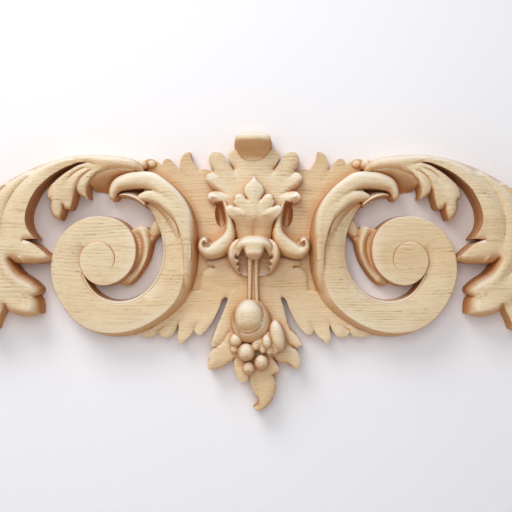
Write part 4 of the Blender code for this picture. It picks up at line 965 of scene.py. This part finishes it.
class Nodes:
    """A short way to write a material's nodes."""

    def __init__(self, material):
        material.use_nodes = True
        self.tree = material.node_tree
        self.shader = self.tree.nodes["Principled BSDF"]

    def add(self, kind, inputs=(), **settings):
        node = self.tree.nodes.new(kind)
        for key, value in settings.items():
            setattr(node, key, value)
        for name, value in dict(inputs).items():
            self.put(value, node.inputs[name])
        return node

    def put(self, value, socket):
        if isinstance(value, bpy.types.NodeSocket):
            self.tree.links.new(value, socket)
        else:
            socket.default_value = value

    def maths(self, operation, *values, clamp=False):
        node = self.tree.nodes.new("ShaderNodeMath")
        node.operation = operation
        node.use_clamp = clamp
        for value, socket in zip(values, node.inputs):
            self.put(value, socket)
        return node.outputs[0]

    def vector(self, operation, *values):
        node = self.tree.nodes.new("ShaderNodeVectorMath")
        node.operation = operation
        for value, socket in zip(values, node.inputs):
            self.put(value, socket)
        return node.outputs[0]

    def scale(self, value, factor):
        return self.maths("MULTIPLY", value, factor)

    def noise(self, position, along, across, detail=2.0, roughness=0.5):
        """Noise of so many waves a metre along the grain and across it."""
        node = self.add("ShaderNodeTexNoise", {
            "Vector": self.vector("MULTIPLY", position, (along, across, across)),
            "Scale": 1.0, "Detail": detail, "Roughness": roughness})
        return node.outputs["Fac"]

    def step(self, value, start, stop, low=0.0, high=1.0):
        """A smooth step from low to high between start and stop."""
        node = self.add("ShaderNodeMapRange", {
            "Value": value, "From Min": start, "From Max": stop, "To Min": low, "To Max": high},
            interpolation_type="SMOOTHSTEP")
        return node.outputs["Result"]

    def mix(self, factor, a, b, blend="MIX"):
        node = self.add("ShaderNodeMix", data_type="RGBA", blend_type=blend)
        for value, socket in zip((factor, a, b), (node.inputs[0], node.inputs[6], node.inputs[7])):
            self.put(value, socket)
        return node.outputs[2]


PALE_OAK = (0.83, 0.705, 0.495, 1)
WARM_OAK = (0.77, 0.60, 0.375, 1)
LATE_WOOD = (0.54, 0.35, 0.18, 1)
PORE = (0.30, 0.16, 0.07, 1)
# The brown of end grain, also used for painted shade under overhangs and in hollows.
END_GRAIN_AND_SHADE = (0.60, 0.30, 0.12, 1)
# The colour of the painted shade deep in the relief, and of the darkening towards the bottom.
RELIEF_SHADE_AND_FOOT_TONE = (0.66, 0.42, 0.20, 1)
# The colour of the painted highlight.
HIGHLIGHT_PAINT = (0.95, 0.90, 0.80, 1)

# The growth lines' distance, and how far they wander over the length of the board and within a hand's width.
RING_WIDTH = 3.4 * MM
RING_DRIFT = 50 * MM
RING_BEND = 6 * MM
# How much each growth line, fibre and pore shows.
LINE_SHOWS = 0.42
FIBRE_SHOWS = 0.35
PORE_SHOWS = 0.75
# How strong the painted highlight on upper faces and proud parts is, and how brown the steep walls (end
# grain), the undersides and the sunk parts (painted shade) are.
UPWARD_HIGHLIGHT = 0.7
PROUD_HIGHLIGHT = 0.25
WALL_BROWN = 0.8
UNDER_SHARE = 0.85
SUNK_SHADE = 0.35
# How much painted shade darkens the wood deep in the relief, how much darker it gets towards the foot of the
# drop, and where.
DEEP_RELIEF_SHADE = 0.25
DEEP_HEIGHTS = (29 * MM, 14 * MM)
FOOT_DARK = 0.35
FOOT_HEIGHTS = (-60 * MM, -125 * MM)


def growth_lines(nodes, position, split):
    """The dark side of each growth ring, in patches. The rings lie nearly flat in the board."""
    drift = nodes.scale(nodes.noise(position, 2.2, 9, 3.0), RING_DRIFT)
    bend = nodes.scale(nodes.noise(position, 9, 30), RING_BEND)
    up = nodes.maths("ADD", nodes.maths("ADD", split.outputs["Z"], drift), bend)
    across_rings = nodes.maths("ADD", up, nodes.scale(split.outputs["Y"], 0.6))
    ring = nodes.maths("FRACT", nodes.maths("DIVIDE", across_rings, RING_WIDTH))
    line = nodes.maths("MULTIPLY", nodes.step(ring, 0.0, 0.12), nodes.step(ring, 0.75, 0.12))
    return nodes.maths("MULTIPLY", line, nodes.step(nodes.noise(position, 14, 120), 0.38, 0.68))


def oak():
    """Raw oak, smoothed with sandpaper, with its grain along X: growth lines, pores as short dashes and
    darker end grain, with a painted highlight on upper faces and proud parts, and painted shade under
    overhangs, in hollows and deep in the relief.
    """
    material = bpy.data.materials.new("oak")
    nodes = Nodes(material)
    position = nodes.add("ShaderNodeTexCoord").outputs["Object"]
    split = nodes.add("ShaderNodeSeparateXYZ", {"Vector": position})
    line = growth_lines(nodes, position, split)
    fibre = nodes.noise(position, 24, 700, 3.0, 0.6)
    dash = nodes.noise(position, 90, 1500, 1.0)
    pore = nodes.maths("MULTIPLY", nodes.step(dash, 0.60, 0.74), nodes.maths("ADD", 0.35, line))
    tone = nodes.noise(position, 4, 16)

    colour = nodes.mix(nodes.step(tone, 0.3, 0.72), PALE_OAK, WARM_OAK)
    colour = nodes.mix(nodes.scale(nodes.step(fibre, 0.35, 0.8), FIBRE_SHOWS), colour, LATE_WOOD)
    colour = nodes.mix(nodes.scale(line, LINE_SHOWS), colour, LATE_WOOD)
    colour = nodes.mix(nodes.maths("MULTIPLY", pore, PORE_SHOWS, clamp=True), colour, PORE)

    facing = nodes.add("ShaderNodeNewGeometry").outputs["Normal"]
    normal = nodes.add("ShaderNodeSeparateXYZ", {"Vector": facing})
    steep = nodes.step(nodes.maths("ABSOLUTE", normal.outputs["Y"]), 0.9, 0.3)
    endways = nodes.step(nodes.maths("ABSOLUTE", normal.outputs["X"]), 0.1, 0.8)
    # Painted highlight: faces turned upwards and proud parts are made paler, as if lit from above.
    under = nodes.step(normal.outputs["Z"], -0.05, -0.7)
    upward = nodes.step(normal.outputs["Z"], 0.0, 0.75)
    # Painted shade in the hollows, by how far a point lies below the surface round it.
    hollow = nodes.add("ShaderNodeAttribute", attribute_name="hollow").outputs["Fac"]
    sunk = nodes.scale(nodes.step(hollow, 0.1, 1.0), SUNK_SHADE)
    proud = nodes.scale(nodes.step(hollow, 0.0, -0.8), PROUD_HIGHLIGHT)
    painted_highlight = nodes.maths("ADD", nodes.scale(upward, UPWARD_HIGHLIGHT), proud, clamp=True)
    colour = nodes.mix(painted_highlight, colour, HIGHLIGHT_PAINT)
    # Painted shade deep in the relief, where the back layers get less light; darker towards the foot of the
    # drop.
    low = nodes.step(nodes.scale(split.outputs["Y"], -1.0), *DEEP_HEIGHTS)
    foot = nodes.step(split.outputs["Z"], *FOOT_HEIGHTS)
    dark = nodes.maths("ADD", nodes.scale(low, DEEP_RELIEF_SHADE), nodes.scale(foot, FOOT_DARK))
    colour = nodes.mix(dark, colour, RELIEF_SHADE_AND_FOOT_TONE)
    # Brown of the end grain on steep walls that face along the grain, and painted shade on undersides and in
    # hollows.
    walls = nodes.maths("MAXIMUM", nodes.maths("MULTIPLY", steep, endways), nodes.scale(under, UNDER_SHARE))
    brown = nodes.maths("ADD", nodes.scale(walls, WALL_BROWN), sunk, clamp=True)
    colour = nodes.mix(brown, colour, END_GRAIN_AND_SHADE)
    nodes.put(colour, nodes.shader.inputs["Base Color"])

    nodes.put(nodes.maths("ADD", 0.52, nodes.scale(fibre, 0.25)), nodes.shader.inputs["Roughness"])
    nodes.shader.inputs["Specular IOR Level"].default_value = 0.3
    relief = nodes.maths("SUBTRACT", nodes.scale(fibre, 0.5), nodes.scale(pore, 0.9))
    bump = nodes.add("ShaderNodeBump", {"Strength": 0.35, "Distance": 0.35 * MM, "Height": relief})
    nodes.put(bump.outputs["Normal"], nodes.shader.inputs["Normal"])
    return material


# The place it lies in, the light and the camera.

def plain(name, colour, roughness):
    material = bpy.data.materials.new(name)
    nodes = Nodes(material)
    nodes.shader.inputs["Base Color"].default_value = colour
    nodes.shader.inputs["Roughness"].default_value = roughness
    return material


def sheet(name, corners, material):
    mesh = bpy.data.meshes.new(name)
    mesh.from_pydata(corners, [], [(0, 1, 2, 3)])
    mesh.materials.append(material)
    piece = bpy.data.objects.new(name, mesh)
    bpy.context.scene.collection.objects.link(piece)
    return piece


def wall_paint():
    """White paint that can be seen through from behind, so that the back of the carving can be looked at."""
    material = plain("white_paint", (0.93, 0.93, 0.945, 1), 0.9)
    nodes = Nodes(material)
    clear = nodes.add("ShaderNodeBsdfTransparent")
    behind = nodes.add("ShaderNodeNewGeometry").outputs["Backfacing"]
    mixed = nodes.add("ShaderNodeMixShader", {0: behind, 1: nodes.shader.outputs[0], 2: clear.outputs[0]})
    output = nodes.tree.nodes["Material Output"]
    nodes.put(mixed.outputs[0], output.inputs["Surface"])
    return material


def surroundings():
    """The white wall right behind the back, and a floor below."""
    reach, gap, floor = 2.2, 0.4 * MM, -0.7
    sheet("wall", [
        (-reach, gap, floor), (reach, gap, floor), (reach, gap, reach), (-reach, gap, reach)], wall_paint())
    sheet("floor", [
        (-reach, -reach, floor), (reach, -reach, floor), (reach, reach, floor), (-reach, reach, floor)],
        plain("pale_floor", (0.8, 0.79, 0.78, 1), 0.8))


def area_light(name, location, size, power, colour):
    """A square light of so many watts that faces the carving's middle."""
    light = bpy.data.lights.new(name, "AREA")
    light.size = size
    light.energy = power
    light.color = colour
    lamp = bpy.data.objects.new(name, light)
    lamp.location = location
    lamp.rotation_euler = (-Vector(location)).to_track_quat("-Z", "Y").to_euler()
    bpy.context.scene.collection.objects.link(lamp)


def lights():
    area_light("key", (-0.6, -0.9, 1.1), size=0.8, power=10, colour=(1.0, 0.985, 0.965))
    area_light("fill", (-0.1, -1.4, 0.3), size=0.8, power=6, colour=(0.98, 0.98, 1.0))
    world = bpy.data.worlds.new("studio")
    world.use_nodes = True
    background = world.node_tree.nodes["Background"]
    background.inputs["Color"].default_value = (0.95, 0.95, 1.0, 1)
    background.inputs["Strength"].default_value = 0.25
    bpy.context.scene.world = world
    bpy.context.scene.view_settings.view_transform = "Standard"
    bpy.context.scene.view_settings.look = "Medium High Contrast"


def camera():
    lens = bpy.data.cameras.new("camera")
    lens.sensor_width = 36
    lens.lens = 71.7
    lens.dof.use_dof = False
    eye = bpy.data.objects.new("camera", lens)
    eye.location = (0.002, -1.05, 0.016)
    eye.rotation_euler = (math.radians(90), 0, 0)
    bpy.context.scene.collection.objects.link(eye)
    bpy.context.scene.camera = eye


piece = joined_carving()
mark_hollows(piece)
piece.data.materials.append(oak())
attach(piece, "root")
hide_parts("scroll_onlay")
surroundings()
lights()
camera()
